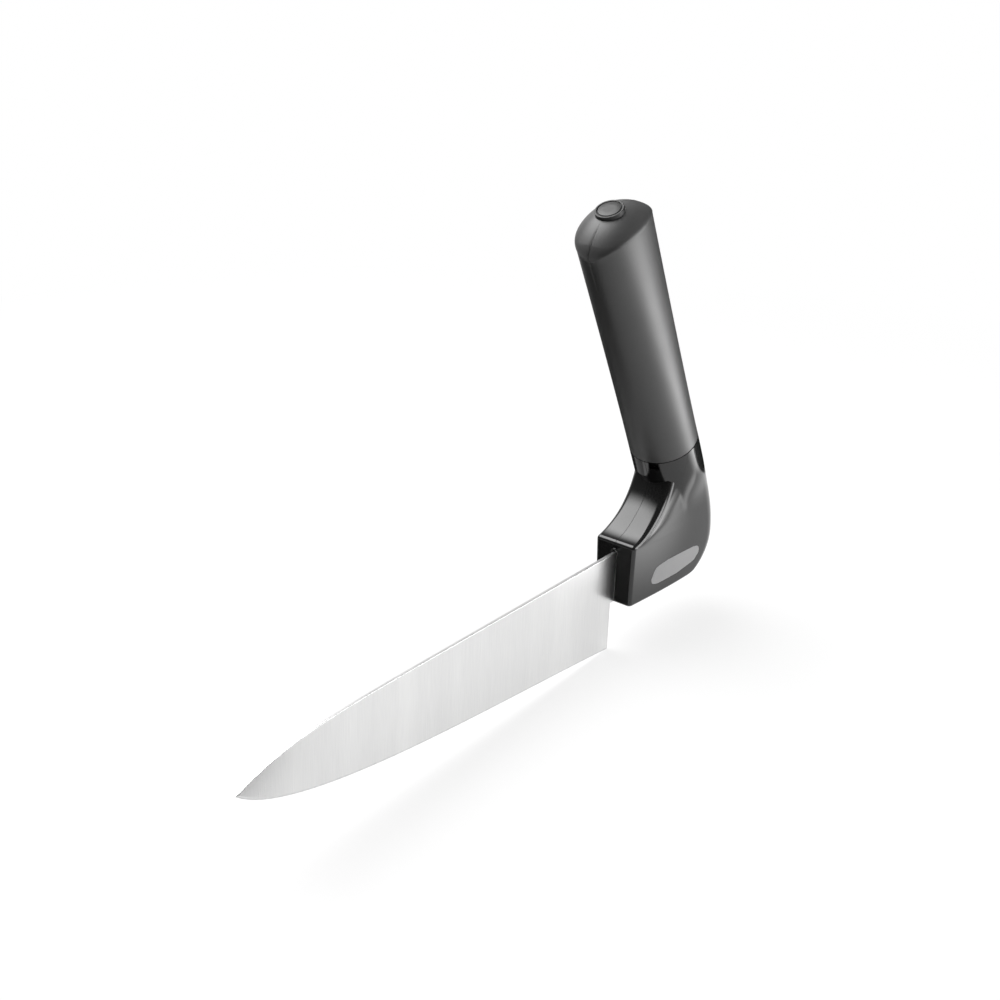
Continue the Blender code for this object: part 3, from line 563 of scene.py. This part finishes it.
def body_ring(front, inward, back, halves, edge, depth, inset, neck, bow, lean, fine):
    """One closed ring of the body: bowed front, rounded shoulders, sides and round back."""
    half_front, half_back = halves
    flat = swollen(front, half_front, neck, inset) - edge
    tilt = math.atan(2 * bow / flat)
    radius = edge / (math.cos(lean) - math.sin(tilt))
    right = []
    flat_steps, edge_steps, side_steps = 6 * fine, 3 * fine, 8 * fine
    for k in range(1, flat_steps + 1):
        share = k / flat_steps
        right.append(front + inward * bow * share ** 2 + Vector((0, flat * share, 0)))
    for i in range(1, edge_steps + 1):
        turn = tilt + (math.pi / 2 - lean - tilt) * i / edge_steps
        step = bow + radius * (math.cos(tilt) - math.cos(turn))
        out = flat + radius * (math.sin(turn) - math.sin(tilt))
        right.append(front + inward * step + Vector((0, out, 0)))
    start = front + inward * step
    across = (back - start).normalized()
    centre = back - across * depth
    roll = math.tan(lean) * (centre - start).length * ROLL_SHARE / 2
    side = []
    for i in range(1, side_steps):
        t = i / side_steps
        rolled = roll * (1 - max(1 - t / ROLL_SHARE, 0) ** 2) * (1 - t)
        half = half_front + (half_back - half_front) * math.sin(math.pi / 2 * t) + rolled
        side.append((start.lerp(centre, t), half))
    for i in range(side_steps):
        turn = math.pi / 2 * i / side_steps
        side.append((centre + across * depth * math.sin(turn), half_back * math.cos(turn)))
    for point, half in side:
        right.append(point + Vector((0, swollen(point, half, neck, inset), 0)))
    left = [Vector((p.x, -p.y, p.z)) for p in reversed(right)]
    return [front] + right + [back] + left


def body_foot(back, first, inset, edge, fine):
    """Rings that round the body's lower edge."""
    rings = []
    rows = FOOT_ROWS * fine
    for i in range(rows):
        turn = math.pi / 2 * i / rows
        round_off = BOTTOM_EDGE * (1 - math.sin(turn))
        z = BODY_BOTTOM + inset + BOTTOM_EDGE * (1 - math.cos(turn))
        heel = point_along(back, first * i / rows)
        heel.z = z
        halves = (FRONT_HALF - inset - round_off, BACK_HALF - inset - round_off)
        face = Vector((inset + round_off, 0, z))
        rings.append(body_ring(face, Vector((1, 0, 0)), heel, halves, edge, BACK_ROUND - inset,
                               inset, neck=0, bow=0, lean=0, fine=fine))
    return rings


def body_skin(inset, fine, top=1.0):
    """Outer skin of the body, or the same skin a wall thickness further in."""
    front = front_path(inset, fine)
    back = back_path(inset, fine)
    edge = max(FRONT_EDGE - inset, LEAST_EDGE)
    steps = [(b[0] - a[0]).length for a, b in zip(front, front[1:])]
    skirt = [p for p in back if p.z <= front[0][0].z]
    first = path_length(skirt) / path_length(back)
    seam_half = SEAM_RADIUS + COLLAR_STEP
    rings = body_foot(back, first, inset, edge, fine)
    run = 0
    for i, (point, inward) in enumerate(front[:round(len(front) * top)]):
        run += steps[i - 1] if i else 0
        t = run / sum(steps)
        rounding = ease(t, *ROUNDING)
        half_front = FRONT_HALF + (SCOOP_HALF - FRONT_HALF) * ease(t, *WIDENING)
        half_back = BACK_HALF + (seam_half - BACK_HALF) * rounding
        depth = BACK_ROUND + (seam_half - BACK_ROUND) * rounding
        soft = 0 if inset else ease(i / fine, *SOFT_ROWS)
        rings.append(body_ring(point - inward * (SCOOP_CROWN * soft), inward,
                               point_along(back, first + (1 - first) * t),
                               (half_front - inset, half_back - inset),
                               edge + (SHOULDER - edge) * soft, depth - inset, inset,
                               neck=ease(t, *SWELLING), bow=SCOOP_BOW * soft,
                               lean=SIDE_LEAN * soft, fine=fine))
    return skin(rings)


SHELL_WALL = 2.5 * MM
HOLLOW_SHARE = 0.84
FOOT_LENGTH = 34 * MM
FOOT_TOP = 10.2 * MM
FOOT_END = 7.6 * MM
SOCKET_START = 7.5 * MM
SOCKET_END = 30 * MM
BORE_END = 35 * MM
BOSS_WALL = 2 * MM
TANG_PIN_HALF = 6 * MM
CORE_PIN_HALF = 10 * MM
CORE_PIN_DEPTH = 24 * MM
SLOT_PLAY = 0.08 * MM
SLOT_HEADROOM = 0.1 * MM
SLOT_RISE = 4.7 * MM


def foot_radius(depth):
    """Radius of the core's tapered foot, at a depth below the seam."""
    return FOOT_TOP + (FOOT_END - FOOT_TOP) * depth / FOOT_LENGTH


def handle_taper(top_radius, top, low_radius, low):
    bm = round_bar(1, 0, 1)
    for vert in bm.verts:
        radius, height = (low_radius, low) if vert.co.z < 0.5 else (top_radius, top)
        vert.co = Vector((vert.co.x * radius, vert.co.y * radius, height))
    return in_handle(bm)


def slot_shape():
    """The slot for the tang, open at the front and below."""
    half = STOCK_HALF + SLOT_PLAY
    top = SPINE_HEIGHT + SLOT_HEADROOM
    low = BODY_BOTTOM - MM
    rise = HEEL_TOP + SLOT_RISE
    mouth = TAB_LENGTH + CLEARANCE
    end = TANG_LENGTH + CLEARANCE
    outline = [(-MM, low), (mouth, low), (mouth, rise), (end, rise), (end, top - MM),
               (TAB_LENGTH + TAB_SLOPE, top), (-MM, top)]
    return flat_plate(outline, -half, half)


def body_hollow():
    """What is taken out of the body: its hollow round the socket and bosses, and the bores."""
    hollow = as_object("hollow", body_skin(SHELL_WALL, fine=1, top=HOLLOW_SHARE))
    core_pin = SEAM_CENTRE - CORE_PIN_DEPTH * HANDLE_UP
    pins = [(x, PIN_HEIGHT, TANG_PIN_HALF) for x in PIN_X]
    pins.append((core_pin.x, core_pin.z, CORE_PIN_HALF))
    bore = PIN_RADIUS + CLEARANCE
    socket = foot_radius(SOCKET_END) + CLEARANCE + BOSS_WALL
    carve(hollow, handle_taper(socket, -SOCKET_START, socket, -SOCKET_END), 'DIFFERENCE')
    for x, z, _ in pins:
        carve(hollow, pin_shape(x, z, bore + BOSS_WALL, 1), 'DIFFERENCE')
    foot_space = handle_taper(foot_radius(-MM) + CLEARANCE, MM,
                              foot_radius(BORE_END) + CLEARANCE, -BORE_END)
    carve(hollow, foot_space, 'UNION')
    for x, z, half in pins:
        carve(hollow, pin_shape(x, z, bore, half + CLEARANCE), 'UNION')
    carve(hollow, slot_shape(), 'UNION')
    return hollow


BEAD_RADIUS = 1.35 * MM
BEAD_HALF = 0.38 * MM
BEAD_DROP = 0.1 * MM


def slot_bead():
    """The small raised ring that the slot ends in, round the spine of the blade."""
    middle = Vector((0, 0, SPINE_HEIGHT - BEAD_DROP))
    forward = Vector((1, 0, 0))
    rings = []
    for turn in around(count=64):
        out = Vector((0, math.sin(turn), math.cos(turn)))
        centre = middle + BEAD_RADIUS * out
        rings.append([centre + BEAD_HALF * (math.cos(a) * out - math.sin(a) * forward)
                      for a in around(count=16)])
    return skin(rings, joined=True)


def make_body():
    """The whole body before it is split, solid inside."""
    body = as_object("body", body_skin(inset=0, fine=4))
    collar = round_bar(SEAM_RADIUS, -COLLAR_DEPTH, COLLAR_OVERRUN, sides=200)
    for vert in collar.verts:
        if vert.co.z < 0:
            vert.co.z += COLLAR_SLOPE * (vert.co.x + SEAM_RADIUS)
    carve(body, in_handle(collar), 'UNION')
    wide = 60 * MM
    carve(body, in_handle(block((-wide, -wide, 0), (wide, wide, wide))), 'DIFFERENCE')
    carve(body, slot_bead(), 'UNION')
    return body


def copy_of(made):
    bm = bmesh.new()
    bm.from_mesh(made.data)
    return bm


INLAY_CIRCLES = ((15.4, 27.9, 2.1), (18.2, 29.1, 3.9), (24, 29.4, 4.1), (30.5, 29.3, 4.15),
                 (41.6, 29.7, 3.3), (44.0, 30.2, 2.2))
INLAY_THICKNESS = 1.2 * MM
INLAY_GAP = 0.04 * MM
INLAY_REACH = (4 * MM, 40 * MM)


def inlay_outline(grow):
    """A leaf shape: the tight band round a row of circles."""
    circles = [(Vector((x, z)) * MM, r * MM + grow) for x, z, r in INLAY_CIRCLES]
    points = []
    for turn in around(count=180):
        out = Vector((math.cos(turn), math.sin(turn)))
        centre, radius = max(circles, key=lambda circle: circle[0].dot(out) + circle[1])
        points.append(tuple(centre + radius * out))
    return points


def inlay_layer(side, grow):
    """The leaf's prism on one side, outside a skin that is sunk by the inlay's thickness."""
    low, high = sorted(side * reach for reach in INLAY_REACH)
    prism = as_object("prism", flat_plate(inlay_outline(grow), low, high))
    carve(prism, body_skin(INLAY_THICKNESS, fine=2), 'DIFFERENCE')
    bm = copy_of(prism)
    bpy.data.objects.remove(prism)
    return bm


PARTING = 0.16 * MM
WINDOW = Vector((1.6, 4, 3.3)) * MM
WINDOW_TURN = math.radians(15)
GLOSS_TONES = ((0.012, 0.012, 0.012), (0.017, 0.017, 0.017))
GLOSS_RUBBED = (0.05, 0.05, 0.05)


def half_shell(name, side):
    """One half of the body, with its hollow, bores and the pocket for its inlay."""
    shell = as_object("shell_" + name, copy_of(body))
    far = 200 * MM
    low, high = sorted((side * PARTING / 2, side * far))
    carve(shell, block((-far, low, -far), (far, high, far)), 'INTERSECT')
    carve(shell, copy_of(hollow), 'DIFFERENCE')
    carve(shell, inlay_layer(side, INLAY_GAP), 'DIFFERENCE')
    return shell


body = make_body()
hollow = body_hollow()
shells = [half_shell(name, side) for name, side in SIDES]
window = block((-SEAM_RADIUS - MM, -WINDOW.y / 2, -WINDOW.z),
               (WINDOW.x - SEAM_RADIUS, WINDOW.y / 2, MM))
bmesh.ops.transform(window, matrix=Matrix.Rotation(WINDOW_TURN, 4, 'Z'), verts=window.verts)
carve(shells[0], in_handle(window), 'DIFFERENCE')
black_gloss, gloss_shader = surface("body_gloss", GLOSS_TONES, roughness=(0.1, 0.16), clouds=45,
                                    grain=900, depth=0.0015 * MM, edge_tone=GLOSS_RUBBED)
gloss_shader.inputs["IOR"].default_value = 1.52
for shell, (name, _) in zip(shells, SIDES):
    finish_piece(shell, black_gloss, "body_shell_" + name, sharp_angle=35)

# Inlays. A leaf of light grey soft plastic in each side of the body, moulded flush with the shell
# into a shallow pocket of its own shape.
INLAY_TONES = ((0.3, 0.3, 0.305), (0.34, 0.34, 0.34))
INLAY_RUBBED = (0.38, 0.38, 0.38)

soft_grey, _ = surface("inlay_grey", INLAY_TONES, roughness=(0.5, 0.6), clouds=90, grain=2600,
                       depth=0.015 * MM, edge_tone=INLAY_RUBBED)
for name, side in SIDES:
    leaf = as_object("leaf_" + name, copy_of(body))
    carve(leaf, inlay_layer(side, 0), 'INTERSECT')
    finish_piece(leaf, soft_grey, "inlay_" + name, sharp_angle=35)
bpy.data.objects.remove(body)
bpy.data.objects.remove(hollow)

# Core. A stiff rod of black plastic inside the grip, with a tapered foot that sits in the body's
# socket and is held there by a pin.
CORE_TONES = ((0.022, 0.022, 0.022), (0.03, 0.03, 0.03))
CORE_RUBBED = (0.05, 0.05, 0.05)

core_plastic, _ = surface("core_plastic", CORE_TONES, roughness=(0.45, 0.55), clouds=120,
                          grain=3000, depth=0.01 * MM, edge_tone=CORE_RUBBED)
paint_node("handle_core", core_plastic)

# Grip. A sleeve of soft dark grey rubber moulded round the core, oval towards its domed top, with
# the fine double line of its mould in the middle plane and a round seat for the plug.
GRIP_LENGTH = 109.8 * MM
GRIP_BOTTOM = 0.25 * MM
GRIP_FOOT_ROUND = 0.25 * MM
TOP_HALF_DEPTH = 17.4 * MM
TOP_HALF_WIDTH = 12.2 * MM
DEPTH_POWER = 1.3
WIDTH_POWER = 0.8
DOME_DEPTH_RADIUS = 20 * MM
DOME_WIDTH_RADIUS = 15.4 * MM
DOME_EASE = 0.7
CREASE_ROUND = 0.9 * MM
CREASE_FADE = 1.6 * MM
CREASE_POWER = 8
SLEEVE_WALL = 2.2 * MM
ROOF_GAP = 0.2 * MM
INNER_SHARE = 0.86
PLUG_RADIUS = 5.4 * MM
SEAT_RADIUS = PLUG_RADIUS + 0.1 * MM
SEAT_DEPTH = 1 * MM
STEM_RADIUS = 3 * MM
LINE_PROFILE = ((0, 0.06), (0.13, 0.05), (0.24, -0.09), (0.34, -0.09), (0.44, 0), (0.7, 0),
                (0.8, -0.04), (0.9, 0))
LINE_FADE = (0.82, 0.97)
OUTER_ROWS = 48
RIM_ROWS = 6
DOME_ROWS = 24
ROOF_ROWS = 6
INNER_ROWS = 12
RUBBER_TONES = ((0.048, 0.048, 0.048), (0.06, 0.06, 0.06))
RUBBER_RUBBED = (0.09, 0.09, 0.09)


def grip_halves(height, inset):
    """Half depth and half width of the grip, from round at the seam to oval at the top."""
    t = max(height, 0) / GRIP_LENGTH
    depth = SEAM_RADIUS + (TOP_HALF_DEPTH - SEAM_RADIUS) * t ** DEPTH_POWER
    width = SEAM_RADIUS + (TOP_HALF_WIDTH - SEAM_RADIUS) * t ** WIDTH_POWER
    return depth - inset, width - inset


def dome_drop(x, y, inset):
    """How far the dome has fallen from its top, by a steeper curve across than along."""
    fore_aft = DOME_DEPTH_RADIUS - inset
    side = DOME_WIDTH_RADIUS - inset
    arc = fore_aft - math.sqrt(fore_aft ** 2 - x * x)
    bow = DOME_EASE * x * x / (2 * fore_aft) + (1 - DOME_EASE) * arc
    return bow + side - math.sqrt(side ** 2 - y * y)


def on_dome(x, y):
    return Vector((x, y, GRIP_LENGTH - dome_drop(x, y, 0)))


def mould_line():
    """Angles round the grip with the mould line's height at each; it runs up both narrow sides."""
    count = 160
    bare = [i for i in range(count) if i % (count // 2) not in (0, 1, count // 2 - 1)]
    turns = {2 * math.pi * i / count: 0 for i in bare}
    for middle in (0, math.pi):
        for offset, height in LINE_PROFILE:
            for side in (-1, 1):
                turn = middle + side * offset * MM / TOP_HALF_DEPTH
                turns[turn % (2 * math.pi)] = height * MM
    return sorted(turns.items())


def crease_round(turn):
    """Rounding of the dome's rim: tight on the broad sides, fading out front and back."""
    return CREASE_ROUND + CREASE_FADE * math.cos(turn) ** CREASE_POWER


def grip_rim():
    """Angle, place on the dome's rim and height of the mould line, all the way round."""
    depth, width = grip_halves(GRIP_LENGTH, 0)
    return [(a, depth * math.cos(a), width * math.sin(a), line) for a, line in mould_line()]


RIM = grip_rim()


def level_ring(depth, width, z):
    return [Vector((depth * math.cos(a), width * math.sin(a), z)) for a, *_ in RIM]


def foot_rings():
    """Rings that round the sleeve's lower edge, at the seam."""
    rings = []
    steps = 4
    for i in range(steps + 1):
        turn = math.pi / 2 * i / steps
        depth, width = grip_halves(0, GRIP_FOOT_ROUND * (1 - math.sin(turn)))
        z = GRIP_BOTTOM + GRIP_FOOT_ROUND * (1 - math.cos(turn))
        rings.append(level_ring(depth, width, z))
    return rings


def outer_ring(share):
    """One ring of the outside, from the foot up to the rounding of the dome's rim."""
    foot = GRIP_BOTTOM + GRIP_FOOT_ROUND
    ring = []
    for a, x, y, line in RIM:
        top = GRIP_LENGTH - dome_drop(x, y, 0) - crease_round(a)
        height = foot + (top - foot) * share
        depth, width = grip_halves(height, -line * ease(share, *LINE_FADE))
        ring.append(Vector((depth * math.cos(a), width * math.sin(a), height)))
    return ring


def rim_ring(t):
    """One ring of the rounded rim between the side and the dome."""
    ring = []
    for a, x, y, line in RIM:
        share = 1 - crease_round(a) / SEAM_RADIUS
        height = GRIP_LENGTH - dome_drop(x, y, 0)
        side_top = Vector((x, y, height - crease_round(a)))
        corner = Vector((x, y, height))
        dome_start = on_dome(x * share, y * share)
        lift = line * Vector((math.cos(a), math.sin(a), t)).normalized()
        ring.append(side_top * (1 - t) ** 2 + corner * 2 * t * (1 - t) + dome_start * t * t + lift)
    return ring


def dome_ring(t):
    """One ring of the dome, from its rim in to the plug's seat."""
    ring = []
    for a, x, y, line in RIM:
        share = 1 - crease_round(a) / SEAM_RADIUS
        outer = Vector((x * share, y * share, 0))
        inner = Vector((SEAT_RADIUS * math.cos(a), SEAT_RADIUS * math.sin(a), 0))
        point = outer.lerp(inner, t)
        point.z = GRIP_LENGTH - dome_drop(point.x, point.y, 0) + line * (1 - t)
        ring.append(point)
    return ring


def roof_ring(t, stem):
    """One ring of the roof inside, from the plug's stem out to the wall."""
    ring = []
    for a, x, y, _ in RIM:
        outer = Vector((x * INNER_SHARE, y * INNER_SHARE, 0))
        inner = Vector((stem * math.cos(a), stem * math.sin(a), 0))
        point = inner.lerp(outer, t)
        point.z = GRIP_LENGTH - SLEEVE_WALL - dome_drop(point.x, point.y, SLEEVE_WALL)
        ring.append(point)
    return ring


def inner_ring(share):
    """One ring of the wall inside."""
    ring = []
    for a, x, y, _ in RIM:
        drop = dome_drop(x * INNER_SHARE, y * INNER_SHARE, SLEEVE_WALL)
        height = GRIP_BOTTOM + (GRIP_LENGTH - SLEEVE_WALL - drop - GRIP_BOTTOM) * share
        depth, width = grip_halves(height, SLEEVE_WALL)
        ring.append(Vector((depth * math.cos(a), width * math.sin(a), height)))
    return ring


def shares(count):
    """Even steps up to 1, without the 0."""
    return [i / count for i in range(1, count + 1)]


def make_sleeve():
    seat = GRIP_LENGTH - SEAT_DEPTH
    stem = STEM_RADIUS + CLEARANCE
    rings = foot_rings()
    rings += [outer_ring(share) for share in shares(OUTER_ROWS)]
    rings += [rim_ring(t) for t in shares(RIM_ROWS)]
    rings += [dome_ring(t) for t in shares(DOME_ROWS)]
    rings.append(level_ring(SEAT_RADIUS, SEAT_RADIUS, seat))
    rings.append(level_ring(stem, stem, seat))
    rings.append(level_ring(stem, stem, GRIP_LENGTH - SLEEVE_WALL - ROOF_GAP))
    rings += [roof_ring(t, stem) for t in shares(ROOF_ROWS)]
    rings += [inner_ring(1 - share) for share in shares(INNER_ROWS)]
    return as_object("sleeve", in_handle(skin(rings, joined=True)))


rubber, rubber_shader = surface("grip_rubber", RUBBER_TONES, roughness=(0.41, 0.48), clouds=70,
                                grain=1800, depth=0.012 * MM, edge_tone=RUBBER_RUBBED)
rubber_shader.inputs["Specular IOR Level"].default_value = 0.62
finish_piece(make_sleeve(), rubber, "grip_sleeve", sharp_angle=40)

# End plug. A round button of satin black plastic pressed into the top of the grip on a barbed
# stem, with a fine groove inside its rim.
PLUG_PROFILE = ((2.4, -9.3), (3.8, -7.3), (3.8, -6.5), (3, -6.5), (3, -0.94), (5.4, -0.94),
                (5.4, 0.42), (5.36, 0.58), (5.24, 0.67), (5.1, 0.7), (4.78, 0.7), (4.7, 0.66),
                (4.62, 0.5), (4.42, 0.36), (4.22, 0.5), (4.14, 0.66), (4.06, 0.7), (2, 0.72))
PLUG_TONES = ((0.018, 0.018, 0.018), (0.026, 0.026, 0.026))
PLUG_RUBBED = (0.05, 0.05, 0.05)


def make_plug():
    rings = []
    for radius, height in PLUG_PROFILE:
        z = GRIP_LENGTH + height * MM
        rings.append([Vector((radius * MM * math.cos(a), radius * MM * math.sin(a), z))
                      for a in around(count=96)])
    return as_object("plug", in_handle(skin(rings)))


plug_plastic, _ = surface("plug_plastic", PLUG_TONES, roughness=(0.38, 0.46), clouds=120,
                          grain=3000, depth=0.008 * MM, edge_tone=PLUG_RUBBED)
finish_piece(make_plug(), plug_plastic, "end_plug", sharp_angle=30)

# Floor and backdrop. One sheet of white paper that runs flat under the knife and curves up behind
# it, as a photographer hangs it. It is white where it is seen or mirrored.
SHEET_BEHIND = Vector((0.784, 0.621, 0))
SHEET_ACROSS = Vector((0.621, -0.784, 0))
SHEET_START = -0.45
SHEET_ROWS = 50
SHEET_ROW = 0.06
SHEET_COLUMNS = 30
SHEET_COLUMN = 0.08
SHEET_FLAT = 1.0
SHEET_CURVE = 0.8
PAPER_SEEN = (0.9, 0.9, 0.9, 1)
PAPER_THROWN = (0.16, 0.16, 0.16, 1)
PAPER_WHITE = 0.8
PAPER_NEAR = 0.25
PAPER_FAR = 0.6
FIRST_BOUNCE = 1.5


def make_sheet():
    bm = bmesh.new()
    rows = []
    for i in range(SHEET_ROWS):
        run = SHEET_START + SHEET_ROW * i
        lift = max(run - SHEET_FLAT, 0) ** 2 * SHEET_CURVE
        row = []
        for j in range(SHEET_COLUMNS + 1):
            across = SHEET_ACROSS * (j - SHEET_COLUMNS // 2) * SHEET_COLUMN
            row.append(bm.verts.new(SHEET_BEHIND * run + across + Vector((0, 0, lift))))
        rows.append(row)
    for low, high in zip(rows, rows[1:]):
        for j in range(SHEET_COLUMNS):
            bm.faces.new((low[j], low[j + 1], high[j + 1], high[j]))
    sheet = as_object("studio_sheet", bm)
    sheet.data.shade_smooth()
    return sheet


def white_paper():
    """Pale paper: white where it is seen or mirrored, dimmer in the light that it throws back."""
    material, tree, shader = new_material("white_paper")
    ray = tree.nodes.new("ShaderNodeLightPath").outputs
    early = tree.nodes.new("ShaderNodeMath")
    early.operation = 'LESS_THAN'
    early.inputs[1].default_value = FIRST_BOUNCE
    tree.links.new(ray["Ray Depth"], early.inputs[0])
    seen = combine(tree, 'MULTIPLY', early.outputs[0], ray["Is Glossy Ray"])
    seen = combine(tree, 'MAXIMUM', seen, ray["Is Camera Ray"])
    seen = combine(tree, 'MAXIMUM', seen, ray["Is Transmission Ray"])
    away = tree.nodes.new("ShaderNodeVectorMath")
    away.operation = 'LENGTH'
    tree.links.new(object_point(tree), away.inputs[0])
    level = spread(tree, away.outputs["Value"], PAPER_WHITE, 1, PAPER_NEAR, PAPER_FAR)
    tone = blend_colours(tree, seen, PAPER_THROWN, PAPER_SEEN)
    tree.links.new(tone, shader.inputs["Base Color"])
    shader.inputs["Roughness"].default_value = 0.9
    shader.inputs["Specular IOR Level"].default_value = 0.1
    white = tree.nodes.new("ShaderNodeEmission")
    mixed = tree.nodes.new("ShaderNodeMixShader")
    tree.links.new(combine(tree, 'MULTIPLY', seen, level), mixed.inputs[0])
    tree.links.new(shader.outputs[0], mixed.inputs[1])
    tree.links.new(white.outputs[0], mixed.inputs[2])
    tree.links.new(mixed.outputs[0], tree.nodes["Material Output"].inputs["Surface"])
    return material


sheet = make_sheet()
sheet.data.materials.append(white_paper())

# Lamps. Two large soft boxes stand to the left and right of the view, and two soft panels lie on
# the floor at the knife's left side. The panels aren't seen, but what is shiny mirrors them.
KNIFE_MIDDLE = Vector((0.08, 0, 0.09))
FLOOR_LAMP = Vector((0.325, -0.213, 0.004))
SIDE_LAMP = Vector((0.159, -0.069, 0.005))
SIDE_LAMP_TURN = math.radians(-26)
UP = Vector((0, 0, 1))
LAMP_MIDDLE = (0.5, 0.5, 0)
LAMP_RIM = 0.5


def soft_lamp(name, place, towards, width, height, glow, core):
    """A soft box that fades from its core to its rim; its glow is against white paper at 1."""
    lamp = bpy.data.lights.new(name, 'AREA')
    lamp.shape = 'ELLIPSE'
    lamp.size = width
    lamp.size_y = height
    lamp.energy = glow * math.pi * width * height * math.pi / 4
    lamp.use_nodes = True
    tree = lamp.node_tree
    face = tree.nodes.new("ShaderNodeNewGeometry")
    reach = tree.nodes.new("ShaderNodeVectorMath")
    reach.operation = 'DISTANCE'
    reach.inputs[1].default_value = LAMP_MIDDLE
    tree.links.new(face.outputs["Parametric"], reach.inputs[0])
    fade = spread(tree, reach.outputs["Value"], 1, 0, core * LAMP_RIM, LAMP_RIM)
    fade.node.interpolation_type = 'SMOOTHSTEP'
    tree.links.new(fade, tree.nodes["Emission"].inputs["Strength"])
    holder = bpy.data.objects.new(name, lamp)
    bpy.context.collection.objects.link(holder)
    holder.location = place
    holder.rotation_euler = (place - towards).to_track_quat('Z', 'Y').to_euler()
    return holder


def around_knife(azimuth, elevation, distance):
    turn = math.radians(azimuth)
    rise = math.radians(elevation)
    out = Vector((math.cos(turn) * math.cos(rise), math.sin(turn) * math.cos(rise), math.sin(rise)))
    return KNIFE_MIDDLE + out * distance


soft_lamp("left_lamp", around_knife(azimuth=104, elevation=58, distance=1.0), KNIFE_MIDDLE,
          width=1.45, height=1.45, glow=7, core=0.35)
soft_lamp("right_lamp", around_knife(azimuth=-66, elevation=12, distance=0.6), KNIFE_MIDDLE,
          width=0.85, height=0.4, glow=7, core=0.6)
floor_lamp = soft_lamp("floor_lamp", FLOOR_LAMP, FLOOR_LAMP + UP,
                      width=0.38, height=0.38, glow=12, core=0.15)
side_lamp = soft_lamp("side_lamp", SIDE_LAMP, SIDE_LAMP + UP,
                      width=0.165, height=0.042, glow=1.7, core=0.15)
side_lamp.rotation_euler.z += SIDE_LAMP_TURN
for lamp in (floor_lamp, side_lamp):
    lamp.visible_camera = False
    lamp.visible_diffuse = False

# Cards. Black and grey cards that lie on the floor or stand behind the knife, as a photographer
# sets them. Only what is shiny mirrors them, and they give the knife its dark edges.
CARD_HIDDEN = ("camera", "diffuse", "transmission", "volume_scatter", "shadow")
SIDE_CARD = ((-0.16, 0.012), (0.03, 0.012), (0.03, 0.12), (0.12, 0.12), (0.13, 0.06),
             (0.43, 0.1), (0.43, 0.32), (-0.16, 0.32))
GREY_CARD = ((0.03, 0.05), (0.03, 0.12), (0.12, 0.12), (0.13, 0.06))
FLOOR_CARD = ((0.27, -0.12), (0.47, -0.12), (0.47, 0.1), (0.27, 0.1))
TIP_CARD = ((-0.22, -0.1), (-0.05, -0.1), (-0.07, -0.05), (-0.1, -0.036), (-0.22, -0.029))
BACK_CARD = ((0.26, -0.10, 0), (0.30, 0.16, 0), (0.30, 0.16, 0.3), (0.26, -0.10, 0.3))


def lying(outline, height):
    return [(x, y, height) for x, y in outline]


def mirrored_card(name, corners, paper):
    bm = bmesh.new()
    bm.faces.new([bm.verts.new(corner) for corner in corners])
    card = as_object(name, bm)
    card.data.materials.append(paper)
    for kind in CARD_HIDDEN:
        setattr(card, "visible_" + kind, False)


def flat_paper(name, grey):
    material, _, shader = new_material(name)
    shader.inputs["Base Color"].default_value = (grey, grey, grey, 1)
    shader.inputs["Roughness"].default_value = 1
    shader.inputs["Specular IOR Level"].default_value = 0
    return material


black_paper = flat_paper("black_paper", grey=0.01)
grey_paper = flat_paper("grey_paper", grey=0.3)
mirrored_card("side_card", lying(SIDE_CARD, 2 * MM), black_paper)
mirrored_card("grey_card", lying(GREY_CARD, 1 * MM), grey_paper)
mirrored_card("floor_card", lying(FLOOR_CARD, 3 * MM), black_paper)
mirrored_card("tip_card", lying(TIP_CARD, 2 * MM), black_paper)
mirrored_card("back_card", BACK_CARD, black_paper)

# Room. The studio's pale walls and ceiling give a little even light from all round. It is white
# where the camera looks past the paper.
ROOM_LIGHT = 0.05

world = bpy.data.worlds.new("studio")
bpy.context.scene.world = world
world.use_nodes = True
room = world.node_tree
room.nodes["Background"].inputs["Color"].default_value = WHITE
camera_ray = room.nodes.new("ShaderNodeLightPath").outputs["Is Camera Ray"]
room_level = spread(room, camera_ray, ROOM_LIGHT, 1, 0, 1)
room.links.new(room_level, room.nodes["Background"].inputs["Strength"])

# Camera. It stands in front and to the left of the knife, above the tip, and looks down along the
# blade at the photograph's angle.
LENS = 57.6
SENSOR = 36
EYE = (-0.40125, -0.3151, 0.3173)
AZIMUTH = math.radians(-51.59)
ELEVATION = math.radians(24.19)
ROLL = math.radians(1.21)

camera = bpy.data.cameras.new("camera")
camera.sensor_width = SENSOR
camera.lens = LENS
camera.clip_start = 0.01
eye = bpy.data.objects.new("camera", camera)
bpy.context.collection.objects.link(eye)
level = Vector((math.cos(AZIMUTH), math.sin(AZIMUTH), 0))
upright = Vector((-math.sin(AZIMUTH) * math.sin(ELEVATION),
                  math.cos(AZIMUTH) * math.sin(ELEVATION), math.cos(ELEVATION)))
right_axis = level * math.cos(ROLL) + upright * math.sin(ROLL)
up_axis = upright * math.cos(ROLL) - level * math.sin(ROLL)
place = Matrix((right_axis, up_axis, right_axis.cross(up_axis))).transposed().to_4x4()
place.translation = EYE
eye.matrix_world = place
bpy.context.scene.camera = eye
bpy.context.scene.view_settings.view_transform = 'Standard'
